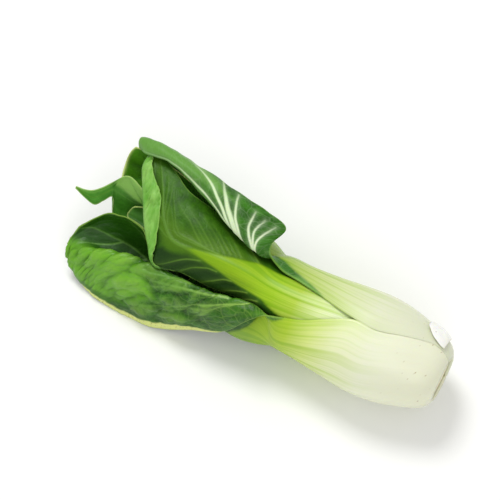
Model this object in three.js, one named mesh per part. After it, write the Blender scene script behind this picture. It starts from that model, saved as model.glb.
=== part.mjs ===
// A head of bok choy lying on its side: eleven pieces grown on one short stem.
// Millimetres, +Z up. The head's long axis runs along X, cut stem at +X, leaf tips at -X.
// Each leaf is one closed sheet from its thick pale stalk to its thin green blade.
import * as THREE from 'three';

// Head
const HEAD_ROLL = 22.4 * Math.PI / 180;   // turn of the whole head round its long axis
const BLADE_THICK = 0.9;                  // green blade, between the ribs
const BULGE_REACH = 31.5;                 // radius of the head at the fattest part of the stalks
const REST_DEPTH = 0.5;                   // how much the lowest stalk is flattened by the table
const BASE_STEP = 2.8;                    // first short step from the base, where stalks curve in
const EDGE_FALL = 2.2;                    // how suddenly a stalk thins to its edges
const RIB_FLANK = 0.2;                    // share of a rib's height one column beside it

// The head's outside radius at a distance from the cut stem.
const OUTLINE = [
  [-1.8, 14.6], [0, 18.4], [2, 20.4], [4, 22], [8, 23.9], [14, 25.9], [24, 28.9],
  [40, BULGE_REACH], [52, 31.2], [64, 30], [77, 28.4], [90, 27.4], [104, 26.8], [114, 27.2],
  [128, 28.2],
];

// Smooth curve through points given as [place, ...values], read at one place.
function curve(points, place) {
  const last = points.length - 1;
  const at = Math.min(Math.max(place, points[0][0]), points[last][0]);
  let i = 0;
  while (i < last - 1 && at > points[i + 1][0]) {
    i += 1;
  }
  const slope = (k) => points[k + 1].map((value, n) => (
    (value - points[k][n]) / (points[k + 1][0] - points[k][0])
  ));
  const tangent = (k) => {
    if (k === 0) {
      return slope(0);
    }
    if (k === last) {
      return slope(last - 1);
    }
    const before = points[k][0] - points[k - 1][0];
    const after = points[k + 1][0] - points[k][0];
    const a = slope(k - 1);
    const b = slope(k);
    return a.map((value, n) => (value * after + b[n] * before) / (before + after));
  };
  const step = points[i + 1][0] - points[i][0];
  const x = (at - points[i][0]) / step;
  const m0 = tangent(i);
  const m1 = tangent(i + 1);
  const h00 = (1 + 2 * x) * (1 - x) * (1 - x);
  const h10 = x * (1 - x) * (1 - x);
  const h01 = x * x * (3 - 2 * x);
  const h11 = x * x * (x - 1);
  return points[i].map((value, n) => (
    h00 * value + h10 * step * m0[n] + h01 * points[i + 1][n] + h11 * step * m1[n]
  ));
}

// Places in the head are [along, across, lift]: along from the cut stem to the tips,
// across to the far side, lift out of the table before the head is rolled.
function fromHead([along, across, lift]) {
  return new THREE.Vector3(
    -along,
    across * Math.cos(HEAD_ROLL) - lift * Math.sin(HEAD_ROLL),
    across * Math.sin(HEAD_ROLL) + lift * Math.cos(HEAD_ROLL),
  );
}

const FLOOR = -BULGE_REACH + REST_DEPTH;

// One row across a stalk: an arc from one edge to the other, its outer face at a reach from the
// head's axis. Degrees turn from across to lift. COLUMNS points, each with its thickness.
const COLUMNS = 9;
function arcRow(along, reach, radius, middle, firstEdge, lastEdge, thick, edge) {
  const row = [];
  const offset = reach - radius;
  const mid = middle * Math.PI / 180;
  for (let i = 0; i < COLUMNS; i += 1) {
    const part = i / (COLUMNS - 1);
    const angle = (firstEdge + (lastEdge - firstEdge) * part) * Math.PI / 180;
    const fall = Math.abs(2 * part - 1) ** EDGE_FALL;
    const here = edge + (thick - edge) * (1 - fall);
    const r = radius - here / 2;
    row.push([
      along,
      offset * Math.cos(mid) + r * Math.cos(angle),
      offset * Math.sin(mid) + r * Math.sin(angle),
      here,
    ]);
  }
  return row;
}

// One row across a blade: places by hand, thin, with a rib at one column.
function bladeRow(places, ribColumn, rib) {
  return places.map((place, i) => {
    const away = Math.abs(i - ribColumn);
    const share = away === 0 ? 1 : (away === 1 ? RIB_FLANK : 0);
    return [...place, BLADE_THICK + (rib - BLADE_THICK) * share];
  });
}

// A closed sheet through rows of places with thickness, sampled to a finer grid.
function sheet(rows, lengthSteps, widthSteps) {
  const reach = [0];
  for (let i = 1; i < rows.length; i += 1) {
    let sum = 0;
    for (let j = 0; j < COLUMNS; j += 1) {
      sum += Math.hypot(...[0, 1, 2].map((n) => rows[i][j][n] - rows[i - 1][j][n]));
    }
    reach.push(reach[i - 1] + sum / COLUMNS);
  }
  const total = reach[reach.length - 1];
  const middle = [];
  const places = [0, BASE_STEP];
  for (let i = 1; i <= lengthSteps; i += 1) {
    places.push(total * i / lengthSteps);
  }
  for (const place of places) {
    const line = [];
    const across = [];
    for (let j = 0; j < COLUMNS; j += 1) {
      const along = rows.map((row, k) => [reach[k], ...row[j]]);
      across.push([j, ...curve(along, place).slice(1)]);
    }
    for (let j = 0; j <= widthSteps; j += 1) {
      const [, a, b, c, thick] = curve(across, (COLUMNS - 1) * j / widthSteps);
      line.push({ point: fromHead([a, b, c]), thick });
    }
    middle.push(line);
  }
  return thicken(middle);
}

// Both faces and the rim round a grid of middle points. The two faces share their diagonals.
// Where the sheet would sink into the table, it is pressed up until its lower face lies on it.
function thicken(middle) {
  const rows = middle.length;
  const cols = middle[0].length;
  const positions = [];
  const index = [];
  const side = rows * cols;
  for (const sign of [1, -1]) {
    for (let i = 0; i < rows; i += 1) {
      for (let j = 0; j < cols; j += 1) {
        const alongA = middle[Math.max(i - 1, 0)][j].point;
        const alongB = middle[Math.min(i + 1, rows - 1)][j].point;
        const acrossA = middle[i][Math.max(j - 1, 0)].point;
        const acrossB = middle[i][Math.min(j + 1, cols - 1)].point;
        const normal = alongB.clone().sub(alongA).cross(acrossB.clone().sub(acrossA)).normalize();
        const { point, thick } = middle[i][j];
        const lowest = FLOOR + Math.abs(normal.z) * thick / 2;
        const lifted = new THREE.Vector3(point.x, point.y, Math.max(point.z, lowest));
        const place = lifted.addScaledVector(normal, sign * thick / 2);
        positions.push(place.x, place.y, place.z);
      }
    }
  }
  for (let i = 0; i < rows - 1; i += 1) {
    for (let j = 0; j < cols - 1; j += 1) {
      const a = i * cols + j;
      const b = a + 1;
      const c = a + cols;
      const d = c + 1;
      index.push(a, c, d, a, d, b);
      index.push(side + a, side + d, side + c, side + a, side + b, side + d);
    }
  }
  const rim = [];
  for (let j = 0; j < cols - 1; j += 1) {
    rim.push(j);
  }
  for (let i = 0; i < rows - 1; i += 1) {
    rim.push(i * cols + cols - 1);
  }
  for (let j = cols - 1; j > 0; j -= 1) {
    rim.push((rows - 1) * cols + j);
  }
  for (let i = rows - 1; i > 0; i -= 1) {
    rim.push(i * cols);
  }
  rim.forEach((a, k) => {
    const b = rim[(k + 1) % rim.length];
    index.push(a, b, side + b, a, side + b, side + a);
  });
  const geometry = new THREE.BufferGeometry();
  geometry.setAttribute('position', new THREE.Float32BufferAttribute(positions, 3));
  geometry.setIndex(index);
  return geometry;
}

// Outer stalks wrap the head: each row is [along, first edge, last edge, thickness],
// the edges in degrees.
const STALK_EDGE = 1.6;
function outerRows(rows) {
  return rows.map(([along, first, last, thick]) => {
    const reach = curve(OUTLINE, along)[1];
    return arcRow(along, reach, reach, (first + last) / 2, first, last, thick, STALK_EDGE);
  });
}

// Inner stalks and plain blades: [along, reach, section radius, middle, half span, thickness, edge].
function innerRows(rows) {
  return rows.map(([along, reach, radius, middle, half, thick, edge]) => (
    arcRow(along, reach, radius, middle, middle - half, middle + half, thick, edge)
  ));
}

// Outer leaf on the far side. Its inner half is turned out over the stalk like a collar.
const outerFar = [
  ...outerRows([
    [-1.8, -80, 43, 1.8], [0, -80, 44, 2.2], [3.4, -79.6, 45, 3], [8, -79, 46, 3.8],
    [14, -77, 52, 5], [26, -73, 63, 6.2], [42, -70, 73, 6.6], [60, -67, 70, 6.3],
    [78, -64, 62, 5.6], [96, -61, 54, 4.8], [110, -58, 49, 3.8],
  ]),
  bladeRow([
    [124, 14.8, -24], [124, 23.5, -17], [124, 28.6, -4], [124, 27.8, 8], [124, 24, 16],
    [124, 19.3, 21.4], [124, 21, 23.6], [123, 24.5, 24.4], [120, 28.5, 23.8],
  ], 2, 3.4),
  bladeRow([
    [131, 15, -32], [131, 27, -20], [131, 31, -4], [131, 30, 8], [131, 26, 16.5],
    [130, 20.2, 22.2], [128, 24, 25.6], [122, 32, 24.8], [117, 38.6, 20],
  ], 2, 3),
  bladeRow([
    [146, 14, -39.8], [146, 29.6, -25], [145, 34, -4], [145, 32.5, 8], [144, 29, 16.5],
    [142, 24, 23.5], [140, 29, 27], [136, 37, 25.4], [132, 44, 19],
  ], 2, 2.6),
  bladeRow([
    [165, 22, -38.4], [165, 36.6, -24], [164, 40, -4], [163, 39, 8], [162, 36.5, 16.5],
    [160, 32, 24], [158, 36.5, 27], [156, 42.5, 25], [152, 47.2, 18],
  ], 2, 2.2),
  bladeRow([
    [185, 32.6, -32], [184, 44, -18.6], [184, 46.5, -3], [183, 46, 8], [182, 44.5, 15.5],
    [180, 40.8, 22.8], [179, 44, 25.4], [178, 48, 23.2], [176, 50.8, 17.5],
  ], 2, 1.8),
  bladeRow([
    [204, 41, -18.4], [204, 47.4, -10], [204, 51, 0], [203, 51, 8], [202, 49.5, 14.5],
    [200, 46.2, 20.8], [199, 48.6, 23], [198, 51.6, 21], [197, 53.2, 16],
  ], 2, 1.4),
  bladeRow([
    [218, 49, -3], [218, 50.6, 0], [219, 52.2, 4], [219, 52.4, 8], [218, 50.8, 13],
    [216, 45.2, 16.2], [216.4, 49, 18.6], [216.2, 52.8, 17.8], [215, 54.2, 14],
  ], 2, 1),
  bladeRow([
    [222.6, 51, 4], [223.4, 51.6, 6], [224, 52, 8], [224, 51, 10], [223.4, 49.4, 11.6],
    [221.8, 46.8, 12.8], [223, 49.4, 14.4], [223, 52, 14.6], [221.4, 53.6, 12.4],
  ], 2, 0.9),
];

// Outer leaf on the near side. Its upper half folds out and down over the stalk to the table.
const outerNear = [
  ...outerRows([
    [-1.8, 182, 45, 1.8], [0, 182, 46, 2.2], [3.4, 182.6, 47, 3], [8, 184, 48, 3.8],
    [14, 190, 54, 5], [26, 200, 65, 6.2], [42, 209, 75, 6.6], [56, 214, 74, 6.4],
    [70, 219, 86, 6], [84, 222, 101, 5.4], [96, 224, 110, 4.8],
  ]),
  bladeRow([
    [108, -20, -17.6], [108, -26.6, -7.6], [108, -28, 2], [108, -25.6, 10.6], [107, -20.6, 17],
    [106, -12.6, 22.6], [106, -11, 24], [106, -11.4, 25.4], [106, -12.4, 25.8],
  ], 2, 3.6),
  bladeRow([
    [118, -15.6, -20.4], [118, -25.6, -13], [118, -30, -2.6], [118, -27, 8], [117, -20.4, 16],
    [114, -9.6, 23.4], [113, -12, 26.6], [112, -15, 26.4], [112, -17.6, 24.6],
  ], 2, 3.2),
  bladeRow([
    [132, -8.6, -21.4], [132, -21.6, -17], [132, -29.4, -7], [132, -27, 5], [131, -20.4, 14.6],
    [130, -11.6, 22.4], [129, -16.5, 24.2], [128, -24.5, 17.5], [128, -31.6, 6],
  ], 2, 2.8),
  bladeRow([
    [148, -3, -21.4], [148, -17, -19.6], [148, -26, -11], [148, -26.6, 1], [147, -22, 11.5],
    [146, -14.2, 19.6], [146, -19.5, 21], [147, -31, 9.6], [150, -39.8, -8],
  ], 2, 2.4),
  bladeRow([
    [166, 0, -12.6], [166, -9, -19], [166, -22, -14.6], [166, -27, -2], [165, -22, 8.6],
    [164, -13.8, 16], [165, -20.5, 17], [167, -36, 3.6], [170, -47.8, -12],
  ], 2, 2),
  bladeRow([
    [185, -8.4, 9], [185, -5, -5.6], [185, -16, -14.6], [185, -24.5, -5], [184, -22, 5],
    [184, -14.4, 12.6], [185, -21.5, 14], [187, -38, 1], [188, -49.6, -13.2],
  ], 2, 1.6),
  bladeRow([
    [200, 3.4, 9.8], [202, 0, -3.4], [204, -10, -11.4], [206, -20.4, -7], [207, -21, 1],
    [207, -16.8, 8], [209, -24, 9.6], [210, -38, -1.6], [210, -48.4, -12.7],
  ], 2, 1.4),
  bladeRow([
    [215, 4.6, 9.6], [218, -0.4, -1], [220, -9, -6], [224, -17.4, -5], [225, -21, -1],
    [226, -22, 2.6], [226, -27, 2.6], [226, -37, -4.6], [224, -44.6, -13],
  ], 2, 1.1),
  bladeRow([
    [227, 0, 6.4], [230, -4, 1], [233, -10, -1.6], [236, -16, -2], [238, -21, -1.6],
    [238.6, -25, -1.6], [238, -29.4, -3], [236.6, -34.4, -6.6], [234, -38.6, -11.6],
  ], 2, 0.9),
  bladeRow([
    [235, -9, 4.4], [237, -11, 2.2], [239, -14, 1], [240, -17.4, 0], [241, -21, -0.8],
    [241.2, -24.4, -1.8], [240.6, -27.6, -3.4], [239.6, -31, -6], [238, -33.6, -9],
  ], 2, 0.9),
];

// Second leaf on top, its back to the viewer. Its left edge is rolled back over the blade.
const secondTop = [
  ...innerRows([
    [11, 17.2, 15, 70, 58, 3.4, 1.4], [20, 21.6, 17, 70, 62, 5, 1.5],
    [34, 26, 17.6, 72, 70, 6, 1.5], [50, 27.8, 17.5, 74, 70, 6.4, 1.5],
    [64, 27, 17.4, 75, 70, 6, 1.4], [80, 26.6, 17.4, 79, 70, 5.6, 1.3],
    [96, 25.6, 17.4, 82, 70, 5, 1.2], [110, 25.2, 18, 82, 70, 4.6, 1.1],
  ]),
];
secondTop.push(
  bladeRow([
    [126, 24.4, 2], [126, 22.6, 10], [126, 18.4, 17], [126, 12, 21.6], [126, 4.6, 23.6],
    [126, -1.4, 22], [126, -5, 20], [126, -7.6, 18], [126, -9.6, 15.6],
  ], 4, 4.4),
  bladeRow([
    [143, 26.6, 4], [143, 24.6, 12], [143, 19.6, 18.6], [143, 12.6, 22.6], [143, 5, 24.6],
    [143, -1.6, 22.6], [143, -5.4, 20.6], [143, -8.4, 18.6], [143, -10.8, 16],
  ], 4, 3.8),
  bladeRow([
    [162, 31.4, 14], [162, 27, 19.6], [162, 20, 23.4], [162, 12, 24.6], [162, 4, 24.8],
    [162, -2, 23.4], [162, -5.4, 21.8], [162, -8.2, 19.8], [162, -10.6, 17.4],
  ], 4, 3),
  bladeRow([
    [172, 33.4, 17], [174, 27.5, 21.4], [176, 20, 24], [177, 12, 24.6], [177, 4.2, 24.4],
    [180, -5, 21.8], [182, -12.4, 17.6], [182, -13, 18.6], [182.4, -11.6, 19.6],
  ], 4, 2.4),
  bladeRow([
    [178, 34.6, 18.4], [180, 28.6, 21.6], [182, 22, 23.4], [184, 16, 23.8], [184.6, 10.6, 23.4],
    [187, 3.6, 22], [189, -3, 20], [187.4, -2.2, 22], [184, -1, 23.6],
  ], 4, 2),
  bladeRow([
    [182, 36, 18.6], [184.6, 31, 21], [186.6, 25.6, 22.4], [188.6, 20.6, 22.6], [190.6, 16, 22.2],
    [193.6, 11, 21.2], [196, 6, 19.6], [194, 9.6, 22.4], [189.2, 14.4, 24.2],
  ], 4, 1.8),
  bladeRow([
    [186, 38, 18.4], [188.6, 34.4, 20], [191, 30.6, 21], [193.4, 27, 21], [196, 23.4, 20.6],
    [199.4, 20, 19.8], [202.4, 16.6, 18.4], [199.6, 20.6, 21.2], [194.6, 26, 22.8],
  ], 4, 1.6),
  bladeRow([
    [190, 40.4, 17.4], [193, 38, 18.4], [196, 35.6, 19], [199, 33.2, 19], [202, 31, 18.6],
    [205.4, 29, 18], [208.6, 27.4, 17], [206.6, 30.4, 19.2], [203.2, 34, 20.2],
  ], 4, 1.4),
  bladeRow([
    [199, 45, 15], [201, 43.6, 15.6], [203, 42.2, 16], [205, 41, 16], [207.4, 40, 16],
    [211, 38.8, 15.8], [214, 38, 15.2], [212, 40, 16.6], [209.6, 42, 17.2],
  ], 4, 1.1),
  bladeRow([
    [206, 48.4, 12.6], [207.4, 48, 12.8], [208.8, 47.6, 13], [210, 47.2, 13], [211.2, 46.8, 13.2],
    [212.6, 46.4, 13.2], [213.8, 46.2, 13.2], [213, 47, 14.2], [211.6, 47.8, 14.6],
  ], 4, 0.9),
);

// Outer leaf underneath: the head lies on its stalk.
const outerUnder = [
  ...outerRows([
    [-1.8, 184, 278, 1.8], [0, 184, 278, 2.2], [3.4, 184.6, 278.4, 3], [8, 186, 279, 3.8],
    [14, 192, 281, 5], [26, 202, 285, 6.2], [42, 211, 288, 6.6], [60, 217, 290, 6.4],
    [78, 224, 290, 5.8], [94, 227, 288, 5],
  ]),
  ...innerRows([
    [110, 28.4, 28.6, 256, 28, 4, 1.2], [126, 28.9, 32, 257, 27, 3.2, 0.9],
    [146, 29.1, 42, 259, 27, 2.6, 0.9], [168, 28.9, 50, 261, 24, 2.2, 0.9],
    [188, 28.7, 50, 263, 20, 1.7, 0.9], [200, 28.7, 48, 264, 15, 1.3, 0.9],
    [208, 28.7, 48, 265, 9.5, 1.1, 0.9], [212, 28.7, 48, 265, 4, 1, 0.9],
  ]),
];

// Second leaf on the far side; its dark hollow tip shows past the leaf on top.
const secondFar = [
  ...innerRows([
    [11, 16, 14, -38, 50, 3.4, 1.4], [20, 19.8, 15.4, -37, 56, 4.6, 1.4],
    [34, 23.2, 16.6, -35, 64, 5.4, 1.4], [50, 24.4, 17, -35, 64, 5.8, 1.4],
    [70, 23.4, 16.4, -35, 60, 5.4, 1.3], [92, 21.6, 16.4, -40, 52, 4.6, 1.1],
    [112, 22.6, 20, -46, 44, 3.8, 0.9], [132, 25, 24, -48, 38, 3, 0.9],
  ]),
  bladeRow([
    [150, 8, -25], [150, 13, -25], [150, 18, -23], [150, 22.6, -19.6], [150, 26.4, -15],
    [150, 29, -10], [150, 30.4, -5], [150, 31, 0], [150, 30.6, 4],
  ], 4, 2.4),
  bladeRow([
    [172, 14, -20], [172, 19, -21], [172, 24.4, -20], [172, 29.4, -17], [172, 33.4, -12.4],
    [172, 36, -7], [172, 37.4, -1], [172, 38, 5], [172, 37.6, 10],
  ], 4, 2),
  bladeRow([
    [194, 19, -14], [194, 24, -16.4], [194, 29, -16.6], [194, 34, -14.6], [194, 38, -10.6],
    [194, 41, -5.4], [194, 42.6, 0], [194, 43.4, 5.4], [194, 43.4, 10.4],
  ], 4, 1.6),
  bladeRow([
    [212, 21, -8], [212, 25.4, -10.6], [212, 30, -11], [212, 34.4, -9.8], [212, 38.2, -7],
    [212, 41.2, -3], [212, 43.4, 1.4], [212, 45, 5.4], [212, 46.4, 9],
  ], 4, 1.3),
  bladeRow([
    [222, 23, -2], [223, 26, -4.6], [223.4, 29.6, -6], [223.6, 33.4, -6], [223.8, 37, -4.4],
    [223.6, 40.4, -1.6], [223, 43, 1.6], [222, 45.2, 5], [220.6, 46.8, 8.2],
  ], 4, 1),
  bladeRow([
    [226.6, 25.2, 3], [228.2, 27.4, 0.6], [229.4, 30, -1], [230, 33, -1.6], [230.2, 36, -1],
    [230, 39, 0.6], [229.2, 41.8, 2.8], [227.8, 44.2, 5.2], [225.8, 46.2, 7.8],
  ], 4, 0.9),
];

// Second leaf on the near and low side.
const secondNear = innerRows([
  [11, 16.8, 15, 196, 56, 3.4, 1.4], [20, 21.2, 16.4, 200, 60, 4.8, 1.4],
  [34, 24.8, 17, 206, 62, 5.6, 1.4], [50, 26, 17, 211, 62, 5.8, 1.4],
  [66, 24.8, 17, 217, 62, 5.4, 1.3], [84, 23, 16.6, 220, 58, 4.8, 1.1],
  [102, 21.2, 16, 214, 54, 4, 0.9], [120, 19.8, 16, 208, 50, 3.4, 0.9],
  [138, 19, 16, 206, 46, 2.8, 0.9],
  [154, 17.6, 15, 208, 36, 2, 0.9], [164, 16, 14, 210, 16, 1.3, 0.9],
]);

// Inner leaf that ends in a long thin tip.
const innerPointed = [
  ...innerRows([
    [13, 12, 8, 0, 60, 2.6, 1.2], [30, 14.6, 9.4, 0, 62, 3.6, 1.2], [52, 15, 9.8, 0, 64, 4, 1.2],
    [80, 14.6, 9.8, 0, 62, 3.6, 1], [110, 14, 10.4, 2, 60, 3, 0.9], [140, 16, 13, 2, 54, 2.4, 0.9],
    [168, 18, 14, 2, 50, 2, 0.9],
  ]),
  bladeRow([
    [192, 7, -11.4], [192, 10.4, -10.6], [192, 13.4, -8.6], [192, 15.6, -5.6], [192, 17, -2],
    [192, 17.8, 2], [192, 19, 5.4], [191, 20.6, 8], [190, 22, 10],
  ], 4, 1.6),
  bladeRow([
    [209, 3, -9.6], [209, 7, -9], [209, 10.6, -7.6], [209, 13.6, -5], [209, 15.6, -2],
    [209, 16.8, 1.4], [208, 19.2, 5], [207.4, 21.8, 8.2], [207, 24.2, 11.4],
  ], 4, 1.3),
  bladeRow([
    [224, 1.8, -6.4], [226, 5.6, -5.8], [227.6, 9.6, -4.6], [228.8, 13.4, -3.2], [229, 17, -1.4],
    [228.6, 20.4, 0.6], [227.4, 23, 3.2], [226, 25.2, 6], [224, 27, 9],
  ], 4, 1.2),
  bladeRow([
    [228.4, 12.6, -2.6], [228.8, 13.7, -2.2], [229.2, 14.8, -1.8], [229.6, 15.9, -1.4], [230, 17, -1],
    [230.4, 18, -0.6], [230.8, 19, 0], [231.2, 19.9, 0.6], [231.6, 20.8, 1.2],
  ], 4, 1),
  bladeRow([
    [232.6, 8.4, -3], [233.1, 9.4, -2.7], [233.6, 10.4, -2.4], [234, 11.3, -2.1], [234.5, 12.2, -1.8],
    [235, 13, -1.5], [235.5, 13.8, -1.2], [236, 14.6, -0.9], [236.6, 15.4, -0.6],
  ], 4, 1),
  bladeRow([
    [237, 3.6, -3], [237.6, 4.6, -2.8], [238.2, 5.6, -2.6], [238.8, 6.6, -2.4], [239.4, 7.6, -2.2],
    [240, 8.6, -2], [240.6, 9.5, -1.8], [241.2, 10.4, -1.6], [241.8, 11.2, -1.4],
  ], 4, 0.9),
  bladeRow([
    [244, 4.8, -2], [244.4, 5.4, -2], [244.8, 6, -2], [245.2, 6.6, -2], [245.6, 7.2, -2],
    [246, 7.8, -2], [246.4, 8.4, -2], [246.8, 9, -2], [247.2, 9.6, -2],
  ], 4, 0.9),
  bladeRow([
    [252, 7.6, -1], [252, 7.8, -1], [252, 8, -1], [252, 8.2, -1], [252, 8.4, -1],
    [252, 8.6, -1], [252, 8.8, -1], [252, 9, -1], [252, 9.2, -1],
  ], 4, 0.9),
];

// Inner leaf with a round tip.
const innerRound = [
  ...innerRows([
    [13, 11.4, 7.6, 140, 56, 2.6, 1.2], [30, 13.8, 8.8, 140, 58, 3.4, 1.2],
    [52, 14, 9, 140, 60, 3.8, 1.2], [80, 13.6, 9, 138, 60, 3.4, 1], [110, 13, 9, 130, 60, 2.8, 0.9],
    [138, 13.4, 10.6, 112, 56, 2.2, 0.9],
  ]),
  bladeRow([
    [166, 12.6, 5], [166, 11.6, 7], [166, 10, 8.6], [166, 7.8, 9.6], [166, 5.2, 10],
    [166, 2.6, 9.8], [166, 0.2, 9.2], [166, -2, 8.4], [166, -4, 7.4],
  ], 4, 1.8),
  bladeRow([
    [190, 15.4, 7.6], [190, 13.8, 6], [190, 12, 4.8], [190, 9.8, 4], [190, 7.4, 3.6],
    [190, 5.4, 3.6], [190, 3.2, 3.8], [190, 1.4, 4.4], [190, 0, 5.4],
  ], 4, 1.4),
  bladeRow([
    [204, 15.6, 6.8], [205, 14.4, 5], [206, 12.8, 3.6], [206, 10.8, 2.6], [206, 8.4, 2.2],
    [206, 6.6, 2], [206, 5.6, 2.2], [206, 4.9, 2.7], [205, 4.6, 3.4],
  ], 4, 1.1),
  bladeRow([
    [209, 13.6, 6.4], [211, 12.8, 5], [212.6, 11.4, 3.8], [213.4, 9.8, 3.2], [213.8, 8, 3],
    [213.8, 7, 2.9], [213.4, 6.2, 3], [212.6, 5.6, 3.3], [211.4, 5.2, 3.8],
  ], 4, 0.9),
];

// Two small heart leaves.
const heartLow = innerRows([
  [13.5, 8, 5.4, 270, 58, 2, 1.1], [34, 9, 6, 270, 60, 2.8, 1.1], [60, 9, 6, 270, 60, 2.8, 1],
  [86, 8.6, 6, 270, 56, 2.2, 0.9], [108, 8, 6, 270, 46, 1.6, 0.9], [122, 7.4, 6, 270, 18, 1.1, 0.9],
]);
const heartHigh = innerRows([
  [13.5, 8, 4.4, 84, 56, 1.8, 1.1], [34, 9, 5, 84, 60, 2.4, 1.1], [60, 9, 5, 84, 60, 2.4, 1],
  [84, 8.6, 5, 84, 54, 2, 0.9], [102, 8, 5, 84, 40, 1.5, 0.9], [112, 7.6, 5, 84, 16, 1.1, 0.9],
]);

// Short stem, cut square through at the bottom. The leaves grow from its top and sides.
const STEM_PROFILE = [
  [-0.7, 0], [-0.9, 6], [-0.9, 11.4], [-0.7, 12.4], [0, 14.2], [1, 15.8], [2.6, 17.3],
  [4.4, 18.1], [7, 18.9], [8.6, 19.1], [9.3, 18.2], [9.7, 16.6], [10.2, 13.6], [10.6, 11],
  [11.8, 6], [12.4, 3], [12.6, 0],
];
const STEM_SIDES = 32;
function stem() {
  const positions = [];
  const index = [];
  const rings = STEM_PROFILE.slice(1, -1);
  const place = (along, across, lift) => {
    const point = fromHead([along, across, lift]);
    positions.push(point.x, point.y, point.z);
  };
  place(STEM_PROFILE[0][0], 0, 0);
  for (const [along, radius] of rings) {
    for (let i = 0; i < STEM_SIDES; i += 1) {
      const angle = 2 * Math.PI * i / STEM_SIDES;
      place(along, radius * Math.cos(angle), radius * Math.sin(angle));
    }
  }
  place(STEM_PROFILE[STEM_PROFILE.length - 1][0], 0, 0);
  const last = positions.length / 3 - 1;
  for (let i = 0; i < STEM_SIDES; i += 1) {
    const next = (i + 1) % STEM_SIDES;
    index.push(0, 1 + i, 1 + next);
    for (let k = 0; k < rings.length - 1; k += 1) {
      const a = 1 + k * STEM_SIDES;
      const b = a + STEM_SIDES;
      index.push(a + i, b + next, a + next, a + i, b + i, b + next);
    }
    const top = 1 + (rings.length - 1) * STEM_SIDES;
    index.push(last, top + next, top + i);
  }
  const geometry = new THREE.BufferGeometry();
  geometry.setAttribute('position', new THREE.Float32BufferAttribute(positions, 3));
  geometry.setIndex(index);
  return geometry;
}

// Stub of an older leaf that was pulled off, left at the base.
const leafStub = innerRows([
  [3, 23.6, 23, 22, 24, 1.5, 0.9], [6, 25.4, 24.6, 22, 25, 1.7, 0.9], [10, 27.2, 26.4, 22, 22, 1.6, 0.9],
  [14, 28.6, 27.8, 23, 15, 1.4, 0.9], [17, 29.6, 28.8, 24, 6, 1, 0.9],
]);

const leafColours = {
  leaf_outer_far: ['#4f9b3d', outerFar, 33, 24],
  leaf_outer_near: ['#3f8a2c', outerNear, 35, 24],
  leaf_second_top: ['#4a7a20', secondTop, 33, 24],
  leaf_outer_under: ['#3f8a2c', outerUnder, 24, 12],
  leaf_second_far: ['#2f6a16', secondFar, 24, 12],
  leaf_second_near: ['#2f6a16', secondNear, 18, 10],
  leaf_inner_pointed: ['#4f9b3d', innerPointed, 26, 8],
  leaf_inner_round: ['#2f6a16', innerRound, 18, 8],
  leaf_heart_a: ['#8fbf4a', heartLow, 10, 6],
  leaf_heart_b: ['#8fbf4a', heartHigh, 10, 6],
  leaf_stub: ['#f2f3ea', leafStub, 8, 8],
};

const group = new THREE.Group();
group.name = 'bok_choy';
for (const [name, [colour, rows, lengthSteps, widthSteps]] of Object.entries(leafColours)) {
  const geometry = sheet(rows, lengthSteps, widthSteps);
  geometry.computeVertexNormals();
  const material = new THREE.MeshStandardMaterial({ color: colour, roughness: 0.5, metalness: 0 });
  const mesh = new THREE.Mesh(geometry, material);
  mesh.name = name;
  group.add(mesh);
}
const stemMesh = new THREE.Mesh(stem(), new THREE.MeshStandardMaterial({
  color: '#dfe2c2', roughness: 0.6, metalness: 0,
}));
stemMesh.name = 'stem_plate';
group.add(stemMesh);

// The origin goes to the middle of the head's box, on the table.
const box = new THREE.Box3().setFromObject(group);
const middle = box.getCenter(new THREE.Vector3());
for (const mesh of group.children) {
  mesh.geometry.translate(-middle.x, -middle.y, -box.min.z);
}
export default group;
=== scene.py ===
# A head of bok choy lying on its side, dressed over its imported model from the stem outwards.
import math

import bmesh
import bpy
import numpy as np
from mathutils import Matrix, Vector, noise


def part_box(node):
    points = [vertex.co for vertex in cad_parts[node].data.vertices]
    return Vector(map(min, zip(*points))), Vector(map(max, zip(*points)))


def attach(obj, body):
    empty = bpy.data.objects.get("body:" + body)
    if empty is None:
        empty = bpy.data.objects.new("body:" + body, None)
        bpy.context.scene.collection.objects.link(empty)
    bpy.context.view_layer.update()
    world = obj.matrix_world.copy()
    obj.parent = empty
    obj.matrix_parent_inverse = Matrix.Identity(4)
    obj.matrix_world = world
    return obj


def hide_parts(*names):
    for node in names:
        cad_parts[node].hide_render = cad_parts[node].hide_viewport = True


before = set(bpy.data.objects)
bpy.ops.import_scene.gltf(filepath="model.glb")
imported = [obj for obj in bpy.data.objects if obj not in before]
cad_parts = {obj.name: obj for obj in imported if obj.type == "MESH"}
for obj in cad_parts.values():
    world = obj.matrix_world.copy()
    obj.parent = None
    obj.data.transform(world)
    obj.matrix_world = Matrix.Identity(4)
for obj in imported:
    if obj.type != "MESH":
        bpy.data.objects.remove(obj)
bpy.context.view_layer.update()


# Stem
# The short stem that every leaf grows from, cut square through with a knife when the head was
# harvested. Its cut face is cream, drier at the rim, with the ends of the sap strands in rings.
MM = 0.001
HEAD_ROLL = math.radians(22.4)
stem_low, stem_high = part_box("stem_plate")
STEM_FACE = -0.9                    # how far along the head the cut face lies
HEAD_X = stem_high.x / MM + STEM_FACE
HEAD_Y = (stem_low.y + stem_high.y) / 2 / MM
HEAD_Z = (stem_low.z + stem_high.z) / 2 / MM


def hue(code):
    """An sRGB hex colour as the linear colour that a shader takes."""
    parts = [int(code[k:k + 2], 16) / 255 for k in (1, 3, 5)]
    return [p / 12.92 if p <= 0.04045 else ((p + 0.055) / 1.055) ** 2.4 for p in parts] + [1.0]


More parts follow.
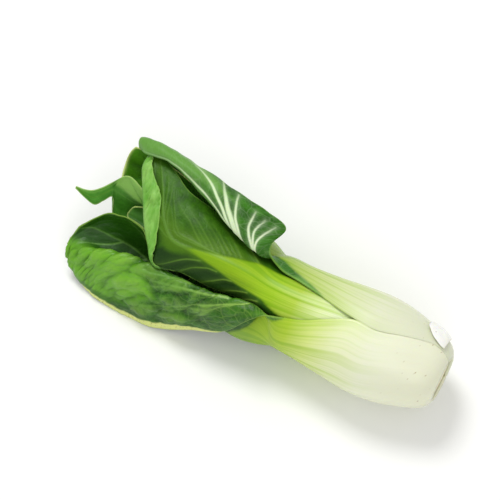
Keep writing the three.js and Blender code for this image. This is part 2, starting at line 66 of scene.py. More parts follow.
def add_node(tree, kind, feeds=None, **settings):
    """A shader node with its settings; feeds gives its inputs a value or another node's output."""
    made = tree.nodes.new("ShaderNode" + kind)
    for name, value in settings.items():
        setattr(made, name, value)
    for name, value in (feeds or {}).items():
        socket = made.inputs[name]
        if isinstance(value, bpy.types.NodeSocket):
            tree.links.new(value, socket)
        else:
            socket.default_value = value
    return made


def lay_over(tree, colour, *coats):
    """Coats over a colour, each the share that it covers, its colour and, if not MIX, how."""
    for share, above, *how in coats:
        colour = add_node(tree, "Mix", {0: share, 6: colour, 7: above}, data_type="RGBA",
                          blend_type=how[0] if how else "MIX").outputs[2]
    return colour


def coverage(tree, pattern, low, high, *shares):
    """0 where a pattern is below low, 1 where it is above high, times any further shares."""
    total = add_node(tree, "MapRange", {0: pattern, 1: low, 2: high},
                     interpolation_type="SMOOTHSTEP").outputs[0]
    for share in shares:
        total = add_node(tree, "Math", {0: total, 1: share}, operation="MULTIPLY").outputs[0]
    return total


def head_to_world(place):
    """Places [along, across, lift] in mm, before the head is rolled, as world places in mm."""
    along, across, lift = place[..., 0], place[..., 1], place[..., 2]
    return np.stack([
        HEAD_X - along,
        HEAD_Y + across * math.cos(HEAD_ROLL) - lift * math.sin(HEAD_ROLL),
        HEAD_Z + across * math.sin(HEAD_ROLL) + lift * math.cos(HEAD_ROLL),
    ], axis=-1)


def finish_piece(name, mesh, material, nodes):
    """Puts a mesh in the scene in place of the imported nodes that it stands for."""
    mesh.materials.append(material)
    for face in mesh.polygons:
        face.use_smooth = True
    piece = bpy.data.objects.new(name, mesh)
    bpy.context.scene.collection.objects.link(piece)
    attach(piece, "root")
    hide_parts(*nodes)


STEM_PROFILE = [
    (-0.6, 0), (-0.7, 3), (-0.8, 7), (-0.9, 11), (-0.8, 12), (-0.5, 12.8), (0, 14.2), (1, 15.8),
    (2.6, 17.3), (4.4, 18.1), (7, 18.9), (8.6, 19.1), (9.3, 18.2), (9.7, 16.6), (10.2, 13.6),
    (10.6, 11), (11.8, 6), (12.4, 3), (12.6, 0),
]
STEM_SIDES = 120
SAP_DOTS, STAINS = 2.38, 6.25       # mm between the cut strands, size of the dry patches
CUT_FROM = 0.4                      # mm past the stem's base, where the profile is the cut face
KNIFE_MARKS = 0.12                  # mm deep

# Freshly cut stem: soft wet pith, so dull with a little gloss, cream with straw-coloured dots.
cut_stem = bpy.data.materials.new("cut plant stem")
cut_stem.use_nodes = True
tree = cut_stem.node_tree
bsdf = tree.nodes["Principled BSDF"]
where = add_node(tree, "TexCoord").outputs["Object"]
dots = add_node(tree, "TexVoronoi", {"Vector": where, "Scale": 1 / (SAP_DOTS * MM)})
stains = add_node(tree, "TexNoise", {"Vector": where, "Scale": 1 / (STAINS * MM), "Detail": 4.0})
stains = stains.outputs[0]
pith = lay_over(tree, hue("#e9e4c8"),
                (coverage(tree, stains, 0.4, 0.7), hue("#d3c69b")),
                (coverage(tree, dots.outputs["Distance"], 0.30, 0.12), hue("#bfae7c")))
bump = add_node(tree, "Bump", {"Strength": 0.6, "Distance": 0.0004, "Height": stains})
tree.links.new(pith, bsdf.inputs["Base Color"])
tree.links.new(bump.outputs[0], bsdf.inputs["Normal"])
bsdf.inputs["Roughness"].default_value = 0.62

bm = bmesh.new()
profile = [bm.verts.new((-along, 0, radius)) for along, radius in STEM_PROFILE]
lines = [bm.edges.new(pair) for pair in zip(profile, profile[1:])]
bmesh.ops.spin(bm, geom=profile + lines, cent=(0, 0, 0), axis=(1, 0, 0), angle=2 * math.pi,
               steps=STEM_SIDES, use_merge=True)
bmesh.ops.remove_doubles(bm, verts=bm.verts, dist=0.001)
bmesh.ops.recalc_face_normals(bm, faces=bm.faces)
for vert in bm.verts:
    if vert.co.x > CUT_FROM:
        vert.co.x -= KNIFE_MARKS * abs(noise.noise(vert.co * 0.6))
    vert.co = Vector(head_to_world(np.array([-vert.co.x, vert.co.y, vert.co.z]))) * MM
stem_mesh = bpy.data.meshes.new("stem")
bm.to_mesh(stem_mesh)
bm.free()
finish_piece("cut_stem", stem_mesh, cut_stem, ["stem_plate"])


# Outer leaf on the far side
# One leaf from its fat white stalk, which wraps the head, to its thin green blade. The inner half
# of the blade is turned out over the stalk like a collar, so its white ribs face up.
BLADE_THICK = 0.9                   # sizes in mm, places across a leaf in columns
STALK_EDGE = 1.6
RIB_FOOT = 0.2                      # share of a rib's extra thickness one column beside it
MARGIN_THICK = 0.45                 # share of the thickness left at a margin
MARGIN_ROUND = 0.8                  # width over which a margin is rounded off
COLUMNS = 9
MARGIN_LINE = 0.02                  # columns from a margin to the line of places beside it
TABLE = 0.0
SEAM_SPREAD = 0.85                  # degrees
PAST_MARGIN = 10.0                  # what a column beyond the margin counts for
VEIN_STEP = 0.4                     # between the places along a vein
VEIN_REACH = 8.0                    # distance from a vein in which the blade is shaped by it
VEIN_FADE = 0.5                     # width over which a vein's side fades into the blade
SLOPE_STEP = 0.02                   # rows or columns over which a slope is read
STRAND_LENGTH = 90.0
UV_SPAN = 100.0                     # leaf covered by one unit of a UV map
LEAF_LENGTH = 250.0                 # along the head, which the colour ramps cover
OUTLINE = np.array([
    (-1.8, 14.6), (0, 18.4), (2, 20.4), (4, 22), (8, 23.9), (14, 25.9), (24, 28.9), (40, 31.5),
    (52, 31.2), (64, 30), (77, 28.4), (90, 27.4), (104, 26.8), (114, 27.2), (128, 28.2),
], float)


def curve_weights(knots, wanted):
    """Weights that read a smooth curve through values at the knots, at each wanted place."""
    gaps = np.diff(knots)
    count = len(knots)
    slope = np.zeros((count - 1, count))
    for k in range(count - 1):
        slope[k, k], slope[k, k + 1] = -1 / gaps[k], 1 / gaps[k]
    lean = np.zeros((count, count))
    lean[0], lean[-1] = slope[0], slope[-1]
    for k in range(1, count - 1):
        lean[k] = (slope[k - 1] * gaps[k] + slope[k] * gaps[k - 1]) / (gaps[k - 1] + gaps[k])
    wanted = np.clip(np.atleast_1d(wanted), knots[0], knots[-1])
    k = np.clip(np.searchsorted(knots, wanted, side="left") - 1, 0, count - 2)
    x = ((wanted - knots[k]) / gaps[k])[:, None]
    step = gaps[k][:, None]
    held = np.eye(count)
    return ((1 + 2 * x) * (1 - x) ** 2 * held[k] + x * (1 - x) ** 2 * step * lean[k]
            + x * x * (3 - 2 * x) * held[k + 1] + x * x * (x - 1) * step * lean[k + 1])


def stalk_row(along, reach, radius, middle, first, last, thick, edge):
    """A row of places round a stalk: an arc whose outer face is at reach from the head's axis."""
    part = np.linspace(0, 1, COLUMNS)
    angle = np.radians(first + (last - first) * part)
    here = edge + (thick - edge) * (1 - np.abs(2 * part - 1) ** 2.2)
    mid = math.radians(middle)
    return np.stack([
        np.full(COLUMNS, float(along)),
        (reach - radius) * math.cos(mid) + (radius - here / 2) * np.cos(angle),
        (reach - radius) * math.sin(mid) + (radius - here / 2) * np.sin(angle),
        here,
    ], axis=-1)


def outer_rows(rows):
    """Rows of an outer stalk: along, first edge, last edge, thickness.

    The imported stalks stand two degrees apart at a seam; here each margin is spread to close it."""
    made = []
    for along, first, last, thick in rows:
        reach = (curve_weights(OUTLINE[:, 0], along) @ OUTLINE[:, 1])[0]
        spread = math.copysign(SEAM_SPREAD, last - first)
        made.append(stalk_row(along, reach, reach, (first + last) / 2, first - spread,
                              last + spread, thick, STALK_EDGE))
    return made


def inner_rows(rows):
    """Rows of an inner stalk or plain blade: along, reach, radius, middle, half, thick, edge."""
    return [stalk_row(along, reach, radius, middle, middle - half, middle + half, thick, edge)
            for along, reach, radius, middle, half, thick, edge in rows]


def blade_rows(rib_column, rows):
    """Rows across a blade, each its rib's thickness and nine places. It is thin beside the rib."""
    away = np.abs(np.arange(COLUMNS) - rib_column)
    share = np.where(away == 0, 1.0, np.where(away == 1, RIB_FOOT, 0.0))
    return [np.column_stack([np.array(places, float), BLADE_THICK + (rib - BLADE_THICK) * share])
            for rib, *places in rows]


def fine_steps(lengths, sizes):
    """Row places, in rows, so that each step is about the given size in mm."""
    places = [0.0]
    for k, (length, size) in enumerate(zip(lengths, sizes)):
        count = max(1, round(length / size))
        places += [k + (n + 1) / count for n in range(count)]
    return np.array(places)


def smooth_share(low, high, value):
    """0 at low, 1 at high, smooth between, for arrays."""
    x = np.clip((value - low) / (high - low), 0, 1)
    return x * x * (3 - 2 * x)


class Sheet:
    """The middle of a leaf through its rows, finely stepped, with what is painted on it."""

    def __init__(self, rows, blade_from, stalk_step=2.4, blade_step=0.7, across=20):
        self.net = np.array(rows)
        moves = np.linalg.norm(np.diff(self.net[:, :, :3], axis=0), axis=-1).mean(axis=1)
        self.reach = np.concatenate([[0], np.cumsum(moves)])
        sizes = [blade_step if k >= blade_from else stalk_step for k in range(len(moves))]
        self.rows = fine_steps(moves, sizes)
        inner = np.linspace(0, COLUMNS - 1, (COLUMNS - 1) * across + 1)[1:-1]
        last = COLUMNS - 1
        self.cols = np.concatenate([[0, MARGIN_LINE], inner, [last - MARGIN_LINE, last]])
        grid = self.at(self.rows, self.cols)
        self.mid, self.thick = grid[..., :3], grid[..., 3]
        across_arc = np.linalg.norm(np.diff(self.mid, axis=1), axis=-1)
        self.across = np.concatenate([np.zeros((len(self.rows), 1)),
                                      np.cumsum(across_arc, axis=1)], axis=1)
        self.down = np.interp(self.rows, np.arange(len(self.reach)), self.reach)
        # lift moves the sheet off its rows, and folds is the part of it that is also painted into
        # the colour, as a painted highlight on its swellings and painted shade in its creases
        self.lift = np.zeros(self.thick.shape)
        self.folds = np.zeros(self.thick.shape)

    def at(self, rows, cols):
        """The surface read at every pairing of row places and column places."""
        place = np.interp(rows, np.arange(len(self.reach)), self.reach)
        by_row = curve_weights(self.reach, place)
        by_col = curve_weights(np.arange(COLUMNS, dtype=float), cols)
        return np.einsum("ik,klm,jl->ijm", by_row, self.net, by_col)

    def across_at(self, knots, values):
        """The arc in mm from the first margin to a column that changes from row to row."""
        column = np.interp(self.rows, knots, values)
        held = np.clip(column, 0, COLUMNS - 1)
        arc = np.array([np.interp(c, self.cols, line) for c, line in zip(held, self.across)])
        return arc + (column - held) * PAST_MARGIN

    def region(self, bounds, soft):
        """1 between two columns that change from row to row, 0 outside, soft mm at each side."""
        knots = [b[0] for b in bounds]
        low = self.across_at(knots, [b[1] for b in bounds])[:, None]
        high = self.across_at(knots, [b[2] for b in bounds])[:, None]
        inside = np.minimum(self.across - low, high - self.across)
        return smooth_share(-soft, soft, inside)

    def rim(self, width):
        """1 at the margin of the leaf, 0 further in than width."""
        far = self.across[:, -1:]
        inside = np.minimum(self.across, far - self.across)
        inside = np.minimum(inside, (self.down[-1] - self.down)[:, None])
        return 1 - smooth_share(0.3 * width, width, inside)

    def spots(self, rows, cols):
        """The surface read at single places, each row place with its own column place."""
        place = np.interp(rows, np.arange(len(self.reach)), self.reach)
        by_row = curve_weights(self.reach, place)
        by_col = curve_weights(np.arange(COLUMNS, dtype=float), cols)
        return np.einsum("ik,klm,il->im", by_row, self.net, by_col)[:, :3]

    def veins(self, lines):
        """How much each place is on a vein, and how far in mm it is from the nearest one."""
        on = np.zeros(self.thick.shape)
        away = np.full(self.thick.shape, 99.0)
        step = SLOPE_STEP
        for line, wide, narrow in lines:
            line = np.array(line, float)
            knots = np.arange(len(line), dtype=float)
            dense = curve_weights(knots, np.linspace(0, knots[-1], 20 * len(line))) @ line
            moves = np.linalg.norm(np.diff(self.spots(dense[:, 0], dense[:, 1]), axis=0), axis=1)
            run = np.concatenate([[0], np.cumsum(moves)])
            wanted = np.linspace(0, run[-1], int(run[-1] / VEIN_STEP) + 2)
            rows, cols = np.interp(wanted, run, dense[:, 0]), np.interp(wanted, run, dense[:, 1])
            by_row = (self.spots(rows + step, cols) - self.spots(rows - step, cols)) / (2 * step)
            by_col = (self.spots(rows, cols + step) - self.spots(rows, cols - step)) / (2 * step)
            row_size = np.maximum(np.linalg.norm(by_row, axis=1), 1.0)
            col_size = np.maximum(np.linalg.norm(by_col, axis=1), 1.0)
            slant = (by_row * by_col).sum(axis=1)
            for k, part in enumerate(np.linspace(0, 1, len(wanted))):
                half = (wide + (narrow - wide) * part) / 2
                i, i_end = np.searchsorted(self.rows, [rows[k] - VEIN_REACH / row_size[k],
                                                       rows[k] + VEIN_REACH / row_size[k]])
                j, j_end = np.searchsorted(self.cols, [cols[k] - VEIN_REACH / col_size[k],
                                                       cols[k] + VEIN_REACH / col_size[k]])
                d_row = (self.rows[i:i_end] - rows[k])[:, None]
                d_col = (self.cols[j:j_end] - cols[k])[None, :]
                square = ((row_size[k] * d_row) ** 2 + 2 * slant[k] * d_row * d_col
                          + (col_size[k] * d_col) ** 2)
                distance = np.sqrt(np.maximum(square, 0))
                here = (slice(i, i_end), slice(j, j_end))
                away[here] = np.minimum(away[here], distance)
                fade = (1 - 0.5 * part ** 3) * min(1, 2.4 * half)
                mark = fade * (1 - smooth_share(half * 0.45, half + VEIN_FADE, distance))
                on[here] = np.maximum(on[here], mark)
        return on, away

    def strands(self, height):
        """Low ribs down a stalk, at the same columns from its base to its neck."""
        ribs = [[noise.noise(Vector((col * 1.6, down / STRAND_LENGTH, 3.0))) for col in self.cols]
                for down in self.down]
        return np.array(ribs) * height

    def crinkle(self, size, height, stretch, turn, seed, creased=False):
        """Waves in the sheet: size in mm, stretched along a direction turned from the rib.

        Creased waves have sharp valleys between round swellings."""
        co, si = math.cos(math.radians(turn)), math.sin(math.radians(turn))
        out = np.zeros(self.thick.shape)
        for i, down in enumerate(self.down):
            for j, over in enumerate(self.across[i]):
                a, b = down * co + over * si, -down * si + over * co
                out[i, j] = noise.noise(Vector((a / size / stretch, b / size, seed)))
        return (np.minimum(np.abs(out) * 2.2, 1) - 0.4) * height if creased else out * height


def leaf_mesh(name, sheet, raised, painted):
    """Two flat grids bridged round their rims, then bent to the two faces of the sheet."""
    length, width = len(sheet.rows), len(sheet.cols)
    bm = bmesh.new()
    for lift in (-0.01, 0.01):
        made = bmesh.ops.create_grid(bm, x_segments=width - 1, y_segments=length - 1, size=1)
        bmesh.ops.translate(bm, verts=made["verts"], vec=(0, 0, lift))
    rim = [edge for edge in bm.edges if edge.is_boundary]
    bmesh.ops.bridge_loops(bm, edges=rim)
    bmesh.ops.recalc_face_normals(bm, faces=bm.faces)
    mesh = bpy.data.meshes.new(name)
    bm.to_mesh(mesh)
    bm.free()
    flat = np.zeros(len(mesh.vertices) * 3)
    mesh.vertices.foreach_get("co", flat)
    flat = flat.reshape(-1, 3)
    col = np.rint((flat[:, 0] + 1) / 2 * (width - 1)).astype(int)
    row = np.rint((flat[:, 1] + 1) / 2 * (length - 1)).astype(int)
    side = np.where(flat[:, 2] < 0, 1, -1)

    def normals(middle):
        out = np.cross(np.gradient(middle, axis=0), np.gradient(middle, axis=1))
        return out / np.maximum(np.linalg.norm(out, axis=-1, keepdims=True), 1e-9)

    middle = head_to_world(sheet.mid)
    middle = middle + normals(middle) * sheet.lift[..., None]
    facing = normals(middle)
    half = sheet.thick / 2
    inside = np.minimum(sheet.across, sheet.across[:, -1:] - sheet.across)
    half = half * (MARGIN_THICK + (1 - MARGIN_THICK) * smooth_share(0, MARGIN_ROUND, inside))
    lowest = TABLE + np.abs(facing[..., 2]) * half
    middle[..., 2] = np.maximum(middle[..., 2], lowest)
    faces = {s: middle + facing * (s * half + raised[s])[..., None] for s in (1, -1)}
    places = np.where((side == 1)[:, None], faces[1][row, col], faces[-1][row, col])
    places[:, 2] = np.maximum(places[:, 2], TABLE)
    mesh.vertices.foreach_set("co", (places * MM).ravel())
    for label, values in painted.items():
        layer = mesh.attributes.new(label, "FLOAT", "POINT")
        both = values if isinstance(values, dict) else {1: values, -1: values}
        data = np.where(side == 1, both[1][row, col], both[-1][row, col])
        layer.data.foreach_set("value", data.astype(np.float32))
    corners = np.zeros(len(mesh.loops), int)
    mesh.loops.foreach_get("vertex_index", corners)
    over_mm, over_columns = sheet.across[row, col], sheet.cols[col] * 10
    for label, over in (("leaf_mm", over_mm), ("leaf_columns", over_columns)):
        flat_places = np.stack([over, sheet.down[row]], axis=-1) / UV_SPAN
        mesh.uv_layers.new(name=label).data.foreach_set("uv", flat_places[corners].ravel())
    mesh.update()
    return mesh


STALK_GLOSS = 0.27                  # roughness of the wax on a stalk
BUMP_DEPTH = 0.0005                 # m
GLOW_DEPTH = 0.0015                 # m that light travels in the flesh
SPECK_GAP = 3.33                    # mm between the places where a speck can be
PAINTED = ("flesh", "vein", "halo", "along", "rim", "upper", "tint_and_painted_light", "dark", "strip", "ridge_highlight",
           "crease_shade")


# A leaf skin's dark colour is painted shade, laid where the blade lies in shade.
def leaf_skin(name, stalk, upper, back, vein, rim, tint_and_painted_light="#6d8f1c", dark="#16350e",
              strip="#a3b84a", net=0.2, gloss=0.4, shine=0.14):
    """Living leaf: a waxy stalk that scatters light, and a satin green blade with paler veins."""
    skin = bpy.data.materials.new(name)
    skin.use_nodes = True
    tree = skin.node_tree
    bsdf = tree.nodes["Principled BSDF"]
    on_leaf = add_node(tree, "UVMap", uv_map="leaf_mm").outputs[0]
    on_columns = add_node(tree, "UVMap", uv_map="leaf_columns").outputs[0]
    painted = {label: add_node(tree, "Attribute", attribute_name=label).outputs["Fac"]
               for label in PAINTED}
    along = painted["along"]

    def grain(across_mm, down_mm, detail=2.0, rough=0.5, where=on_leaf):
        scale = (UV_SPAN / across_mm, UV_SPAN / down_mm, 1)
        scaled = add_node(tree, "Mapping", {"Vector": where, "Scale": scale})
        made = add_node(tree, "TexNoise", {"Vector": scaled.outputs[0], "Scale": 1.0,
                                           "Detail": detail, "Roughness": rough})
        return made.outputs[0]

    def network(size, reach, *strength):
        scale = (UV_SPAN / size, 0.7 * UV_SPAN / size, 1)
        scaled = add_node(tree, "Mapping", {"Vector": on_leaf, "Scale": scale}).outputs[0]
        drift = add_node(tree, "TexNoise", {"Vector": scaled, "Scale": 0.7, "Detail": 3.0})
        moved = lay_over(tree, scaled, (0.5, drift.outputs["Color"], "ADD"))
        cells = add_node(tree, "TexVoronoi", {"Vector": moved, "Scale": 1.0},
                         feature="DISTANCE_TO_EDGE")
        return coverage(tree, cells.outputs["Distance"], reach, 0.0, *strength)

    by_length = []
    for stops in (stalk, vein):
        ramp = add_node(tree, "ValToRGB", {0: along})
        slots = ramp.color_ramp.elements
        while len(slots) < len(stops):
            slots.new(0.5)
        for slot, (place, code) in zip(slots, stops):
            slot.position, slot.color = place / LEAF_LENGTH, hue(code)
        by_length.append(ramp.outputs["Color"])
    stalk_colour, vein_colour = by_length

    # Stalk: white to green along its length, with faint strands that run with its columns, and
    # brown specks about 1 mm across, here and there near the base.
    strands = grain(4.5, 150, where=on_columns)
    streaks = grain(1.4, 120, where=on_columns)
    greener = lay_over(tree, stalk_colour, (0.8, hue("#bedc50"), "MULTIPLY"))
    at_neck = coverage(tree, along, 0.08, 0.36)
    speck = add_node(tree, "TexVoronoi", {"Vector": on_leaf, "Scale": UV_SPAN / SPECK_GAP})
    rare = coverage(tree, grain(16, 12), 0.47, 0.57)
    at_base = coverage(tree, along, 0.14, 0.04)
    specks = coverage(tree, speck.outputs["Distance"], 0.22, 0.06, rare, at_base, 0.7)
    stalk_colour = lay_over(tree, stalk_colour,
                            (coverage(tree, strands, 0.38, 0.66, at_neck, 0.85), greener),
                            (coverage(tree, streaks, 0.42, 0.72, at_neck, 0.5), greener),
                            (specks, hue("#9c8448")))

    # Blade: two greens in blotches, paler beside the veins, with a fine net between them. The
    # real net has meshes of 1 mm or less, and is drawn coarser so that it shows.
    blotch = coverage(tree, grain(10, 15, 4.0, 0.6), 0.3, 0.7)
    fine_blotch = coverage(tree, grain(2.2, 3.0, 3.0, 0.6), 0.3, 0.75, 0.35)
    threads = add_node(tree, "Math", {0: network(6.5, 0.07), 1: network(2.4, 0.12, 0.45)},
                       operation="MAXIMUM").outputs[0]
    # the net is left out under painted shade
    lit_net = add_node(tree, "Math", {0: painted["dark"], 1: -net, 2: net},
                       operation="MULTIPLY_ADD").outputs[0]
    lit_threads = add_node(tree, "Math", {0: threads, 1: lit_net}, operation="MULTIPLY").outputs[0]
    edge_spots = coverage(tree, grain(1.3, 1.8), 0.55, 0.7, 0.6)
    upper_colour = lay_over(tree, hue(upper[0]), (blotch, hue(upper[1])))
    back_colour = lay_over(tree, hue(back[0]), (blotch, hue(back[1])))
    colour = lay_over(tree, back_colour,
                      (painted["upper"], upper_colour),
                      (fine_blotch, hue("#c9cf98"), "MULTIPLY"),
                      # a lighter tint, which on the far leaf also paints light into a hollow in deep
                      # shade
                      (painted["tint_and_painted_light"], hue(tint_and_painted_light)),
                      # painted highlight on the swellings of a crinkled blade, and painted shade in
                      # its creases
                      (painted["ridge_highlight"], hue("#93c04c")),
                      (painted["crease_shade"], hue("#c2cea8"), "MULTIPLY"),
                      # painted shade
                      (painted["dark"], hue(dark)),
                      (lit_threads, vein_colour),
                      (painted["halo"], vein_colour),
                      (painted["strip"], lay_over(tree, hue(strip), (edge_spots, hue("#86803a")))),
                      (painted["flesh"], stalk_colour),
                      (painted["vein"], vein_colour),
                      (painted["rim"], hue(rim)))
    tree.links.new(colour, bsdf.inputs["Base Color"])

    # Relief too fine for the mesh: the cushions between the net's threads, the strands of the
    # stalk, and pores, which are far too small to show and so are drawn 0.8 mm apart.
    quilt = add_node(tree, "Math", {0: 1.0, 1: threads}, operation="SUBTRACT").outputs[0]
    height = lay_over(tree, quilt, (0.35, grain(0.8, 0.8)), (painted["flesh"], strands))
    bump = add_node(tree, "Bump", {"Strength": 0.22, "Distance": BUMP_DEPTH, "Height": height})
    tree.links.new(bump.outputs[0], bsdf.inputs["Normal"])
    waxy = add_node(tree, "MapRange", {0: painted["flesh"], 3: gloss, 4: STALK_GLOSS})
    tree.links.new(waxy.outputs[0], bsdf.inputs["Roughness"])
    bsdf.inputs["Specular IOR Level"].default_value = shine
    bsdf.inputs["Subsurface Weight"].default_value = 0.12
    bsdf.inputs["Subsurface Radius"].default_value = (0.7, 1.0, 0.2)
    bsdf.inputs["Subsurface Scale"].default_value = GLOW_DEPTH
    return skin


SIDE_VEIN = (1.1, 0.4)              # width at the rib and at the end
PUFF_WIDTH = 3.2                    # distance from a vein at which the blade is puffed up
FLAT_MARGIN = 4.0                   # width along a margin in which the puffing dies out
VEIN_SUNK, VEIN_RAISED = 0.22, 0.3  # depth in the upper face, height on the back
STRAND_HEIGHT = 0.16
HALO_WIDTH, HALO = 2.0, 0.13        # paler blade beside a vein, and how much paler
RIDGE_HIGHLIGHT = 0.3                      # how much the painted highlight lightens the round swellings of a crinkled blade


def side_veins(rib, margin, starts, sweep):
    """Side veins from the rib towards a margin; each runs forward by sweep rows."""
    made = []
    span = margin - rib
    for start in starts:
        made.append(([(start, rib), (start + 0.3 * sweep, rib + 0.3 * span),
                      (start + 0.65 * sweep, rib + 0.6 * span),
                      (start + sweep, rib + 0.86 * span)], *SIDE_VEIN))
    return made


def paired_veins(starts, sweep):
    """Side veins on both sides of a rib that runs up the middle column."""
    return side_veins(4, 0, starts, sweep) + side_veins(4, 8, starts, sweep)


def grow_leaf(name, node, sheet, skin, flesh, soft, veins, upper_side, quilting=0.5,
              tint_and_painted_light=(), dark=(), strip=(), rim=0.7, rim_width=0.9):
    """A leaf's mesh with its veins raised on the back, sunk in the upper face, and its skin.

    flesh bounds its stalk and rib. The three regions after quilting are painted on the blade: a
    lighter tint, which on the far leaf also paints light into a hollow in deep shade; painted shade
    where the blade lies in shade; and a strip of another colour along a margin. Each is
    (row, first column, last column) bounds, a soft edge in mm and a strength."""
    fleshy = sheet.region(flesh, soft)
    on, away = sheet.veins(veins)
    blade = 1 - fleshy
    puffed = (1 - np.exp(-(away / PUFF_WIDTH) ** 2)) * blade
    puffed = puffed * np.minimum(1, sheet.across / FLAT_MARGIN)
    puffed = puffed * np.minimum(1, (sheet.across[:, -1:] - sheet.across) / FLAT_MARGIN)
    sheet.lift = (sheet.lift + upper_side * quilting * puffed
                  - upper_side * sheet.strands(STRAND_HEIGHT) * fleshy)
    ridge = on * blade * upper_side
    raised = {upper_side: -VEIN_SUNK * ridge, -upper_side: -VEIN_RAISED * ridge}
    up = np.ones(on.shape)

    def brushed(shapes):
        total = 0 * up
        for bounds, edge, strength in shapes:
            total = np.maximum(total, sheet.region(bounds, edge) * strength)
        return total * blade

    painted = {
        "flesh": fleshy,
        "vein": on * blade,
        "halo": HALO * np.exp(-(away / HALO_WIDTH) ** 2) * blade,
        "along": np.clip(sheet.mid[..., 0] / LEAF_LENGTH, 0, 1),
        "rim": rim * sheet.rim(rim_width) * blade,
        "upper": {upper_side: up, -upper_side: 0 * up},
        "tint_and_painted_light": brushed(tint_and_painted_light),
        "dark": brushed(dark),
        "strip": brushed(strip),
        # painted highlight and painted shade, read from how high the folds stand
        "ridge_highlight": RIDGE_HIGHLIGHT * smooth_share(0.1, 1.6, sheet.folds) * blade,
        "crease_shade": smooth_share(0.1, -1.1, sheet.folds) * blade,
    }
    finish_piece(name, leaf_mesh(name, sheet, raised, painted), skin, [node])


STALK_PALE = [(0, "#e1e2c8"), (40, "#e6e9ce"), (60, "#e2e8b8"), (76, "#d4e186"), (90, "#b2cc3a"),
              (112, "#8bad1c"), (150, "#86ac34")]
STALK_FAR = [(0, "#d8dbc2"), (45, "#dadec0"), (70, "#cfd9a0"), (92, "#bbcb76"), (112, "#9ab644"),
             (150, "#86ac34")]
far_rows = outer_rows([
    (-1.8, -80, 43, 1.8), (0, -80, 44, 2.2), (3.4, -79.6, 45, 3), (8, -79, 46, 3.8),
    (14, -77, 52, 5), (26, -73, 63, 6.2), (42, -70, 73, 6.6), (60, -67, 70, 6.3),
    (78, -64, 62, 5.6), (96, -61, 54, 4.8), (110, -58, 49, 3.8),
]) + blade_rows(2, [
    (3.4, (124, 14.8, -24), (124, 23.5, -17), (124, 28.6, -4), (124, 27.8, 8), (124, 24, 16),
     (124, 19.3, 21.4), (124, 21, 23.6), (123, 24.5, 24.4), (120, 28.5, 23.8)),
    (3, (131, 15, -32), (131, 27, -20), (131, 31, -4), (131, 30, 8), (131, 26, 16.5),
     (130, 20.2, 22.2), (128, 24, 25.6), (122, 32, 24.8), (117, 38.6, 20)),
    (2.6, (146, 14, -39.8), (146, 29.6, -25), (145, 34, -4), (145, 32.5, 8), (144, 29, 16.5),
     (142, 24, 23.5), (140, 29, 27), (136, 37, 25.4), (132, 44, 19)),
    (2.2, (165, 22, -38.4), (165, 36.6, -24), (164, 40, -4), (163, 39, 8), (162, 36.5, 16.5),
     (160, 32, 24), (158, 36.5, 27), (156, 42.5, 25), (152, 47.2, 18)),
    (1.8, (185, 32.6, -32), (184, 44, -18.6), (184, 46.5, -3), (183, 46, 8), (182, 44.5, 15.5),
     (180, 40.8, 22.8), (179, 44, 25.4), (178, 48, 23.2), (176, 50.8, 17.5)),
    (1.4, (204, 41, -18.4), (204, 47.4, -10), (204, 51, 0), (203, 51, 8), (202, 49.5, 14.5),
     (200, 46.2, 20.8), (199, 48.6, 23), (198, 51.6, 21), (197, 53.2, 16)),
    (1, (218, 49, -3), (218, 50.6, 0), (219, 52.2, 4), (219, 52.4, 8), (218, 50.8, 13),
     (216, 45.2, 16.2), (216.4, 49, 18.6), (216.2, 52.8, 17.8), (215, 54.2, 14)),
    (0.9, (222.6, 51, 4), (223.4, 51.6, 6), (224, 52, 8), (224, 51, 10), (223.4, 49.4, 11.6),
     (221.8, 46.8, 12.8), (223, 49.4, 14.4), (223, 52, 14.6), (221.4, 53.6, 12.4)),
])

# Pale stalk and satin mid green blade. Its thick white veins draw the eye along the fold.
far_skin = leaf_skin("fresh leaf, mid green with white veins", STALK_FAR,
                     ["#215206", "#3a7816"], ["#2e6416", "#3f7a22"],
                     [(0, "#e8f1d6"), (130, "#dcebc4"), (170, "#cfe4b4"), (220, "#8fc074")],
                     "#80a844", tint_and_painted_light="#689c42", net=0.08)
far_sheet = Sheet(far_rows, 10)
far_sheet.lift = (far_sheet.crinkle(12, 0.9, 1.4, 30, 1.0)
                  * smooth_share(10, 12, far_sheet.rows)[:, None])
far_veins = [
    ([(13.2, 5.0), (13.75, 5.68), (14.15, 6.15), (14.53, 6.73), (14.9, 7.12), (15.5, 7.8)],
     2.0, 0.7),
    ([(12.9, 5.1), (13.48, 5.85), (13.75, 6.2), (14.1, 6.93), (14.5, 7.9)], 4.6, 0.9),
    ([(12.6, 5.1), (13.1, 5.75), (13.43, 6.28), (13.93, 7.7)], 1.8, 0.7),
    ([(11.7, 5.1), (12.18, 5.62), (12.58, 6.03), (12.9, 6.5), (13.15, 7.4)], 1.8, 0.6),
    ([(11.8, 5.2), (12.18, 5.83), (12.58, 6.45), (12.7, 7.3)], 1.4, 0.5),
    ([(11.6, 5.3), (12.05, 5.98), (12.23, 6.55), (12.3, 7.4)], 1.2, 0.5),
    ([(13.4, 5.1), (14.4, 5.45), (15.2, 5.5), (16.2, 5.4), (17.2, 5.3)], 1.0, 0.6),
    ([(11.5, 2), (14, 2), (16, 2), (17.6, 2)], 2.6, 0.6),
]
far_veins += side_veins(2, 5, [11.5, 12.5, 13.5, 14.5, 15.5], 1.6)
far_veins += side_veins(2, 0, [11, 12, 13, 14, 15], 1.5)
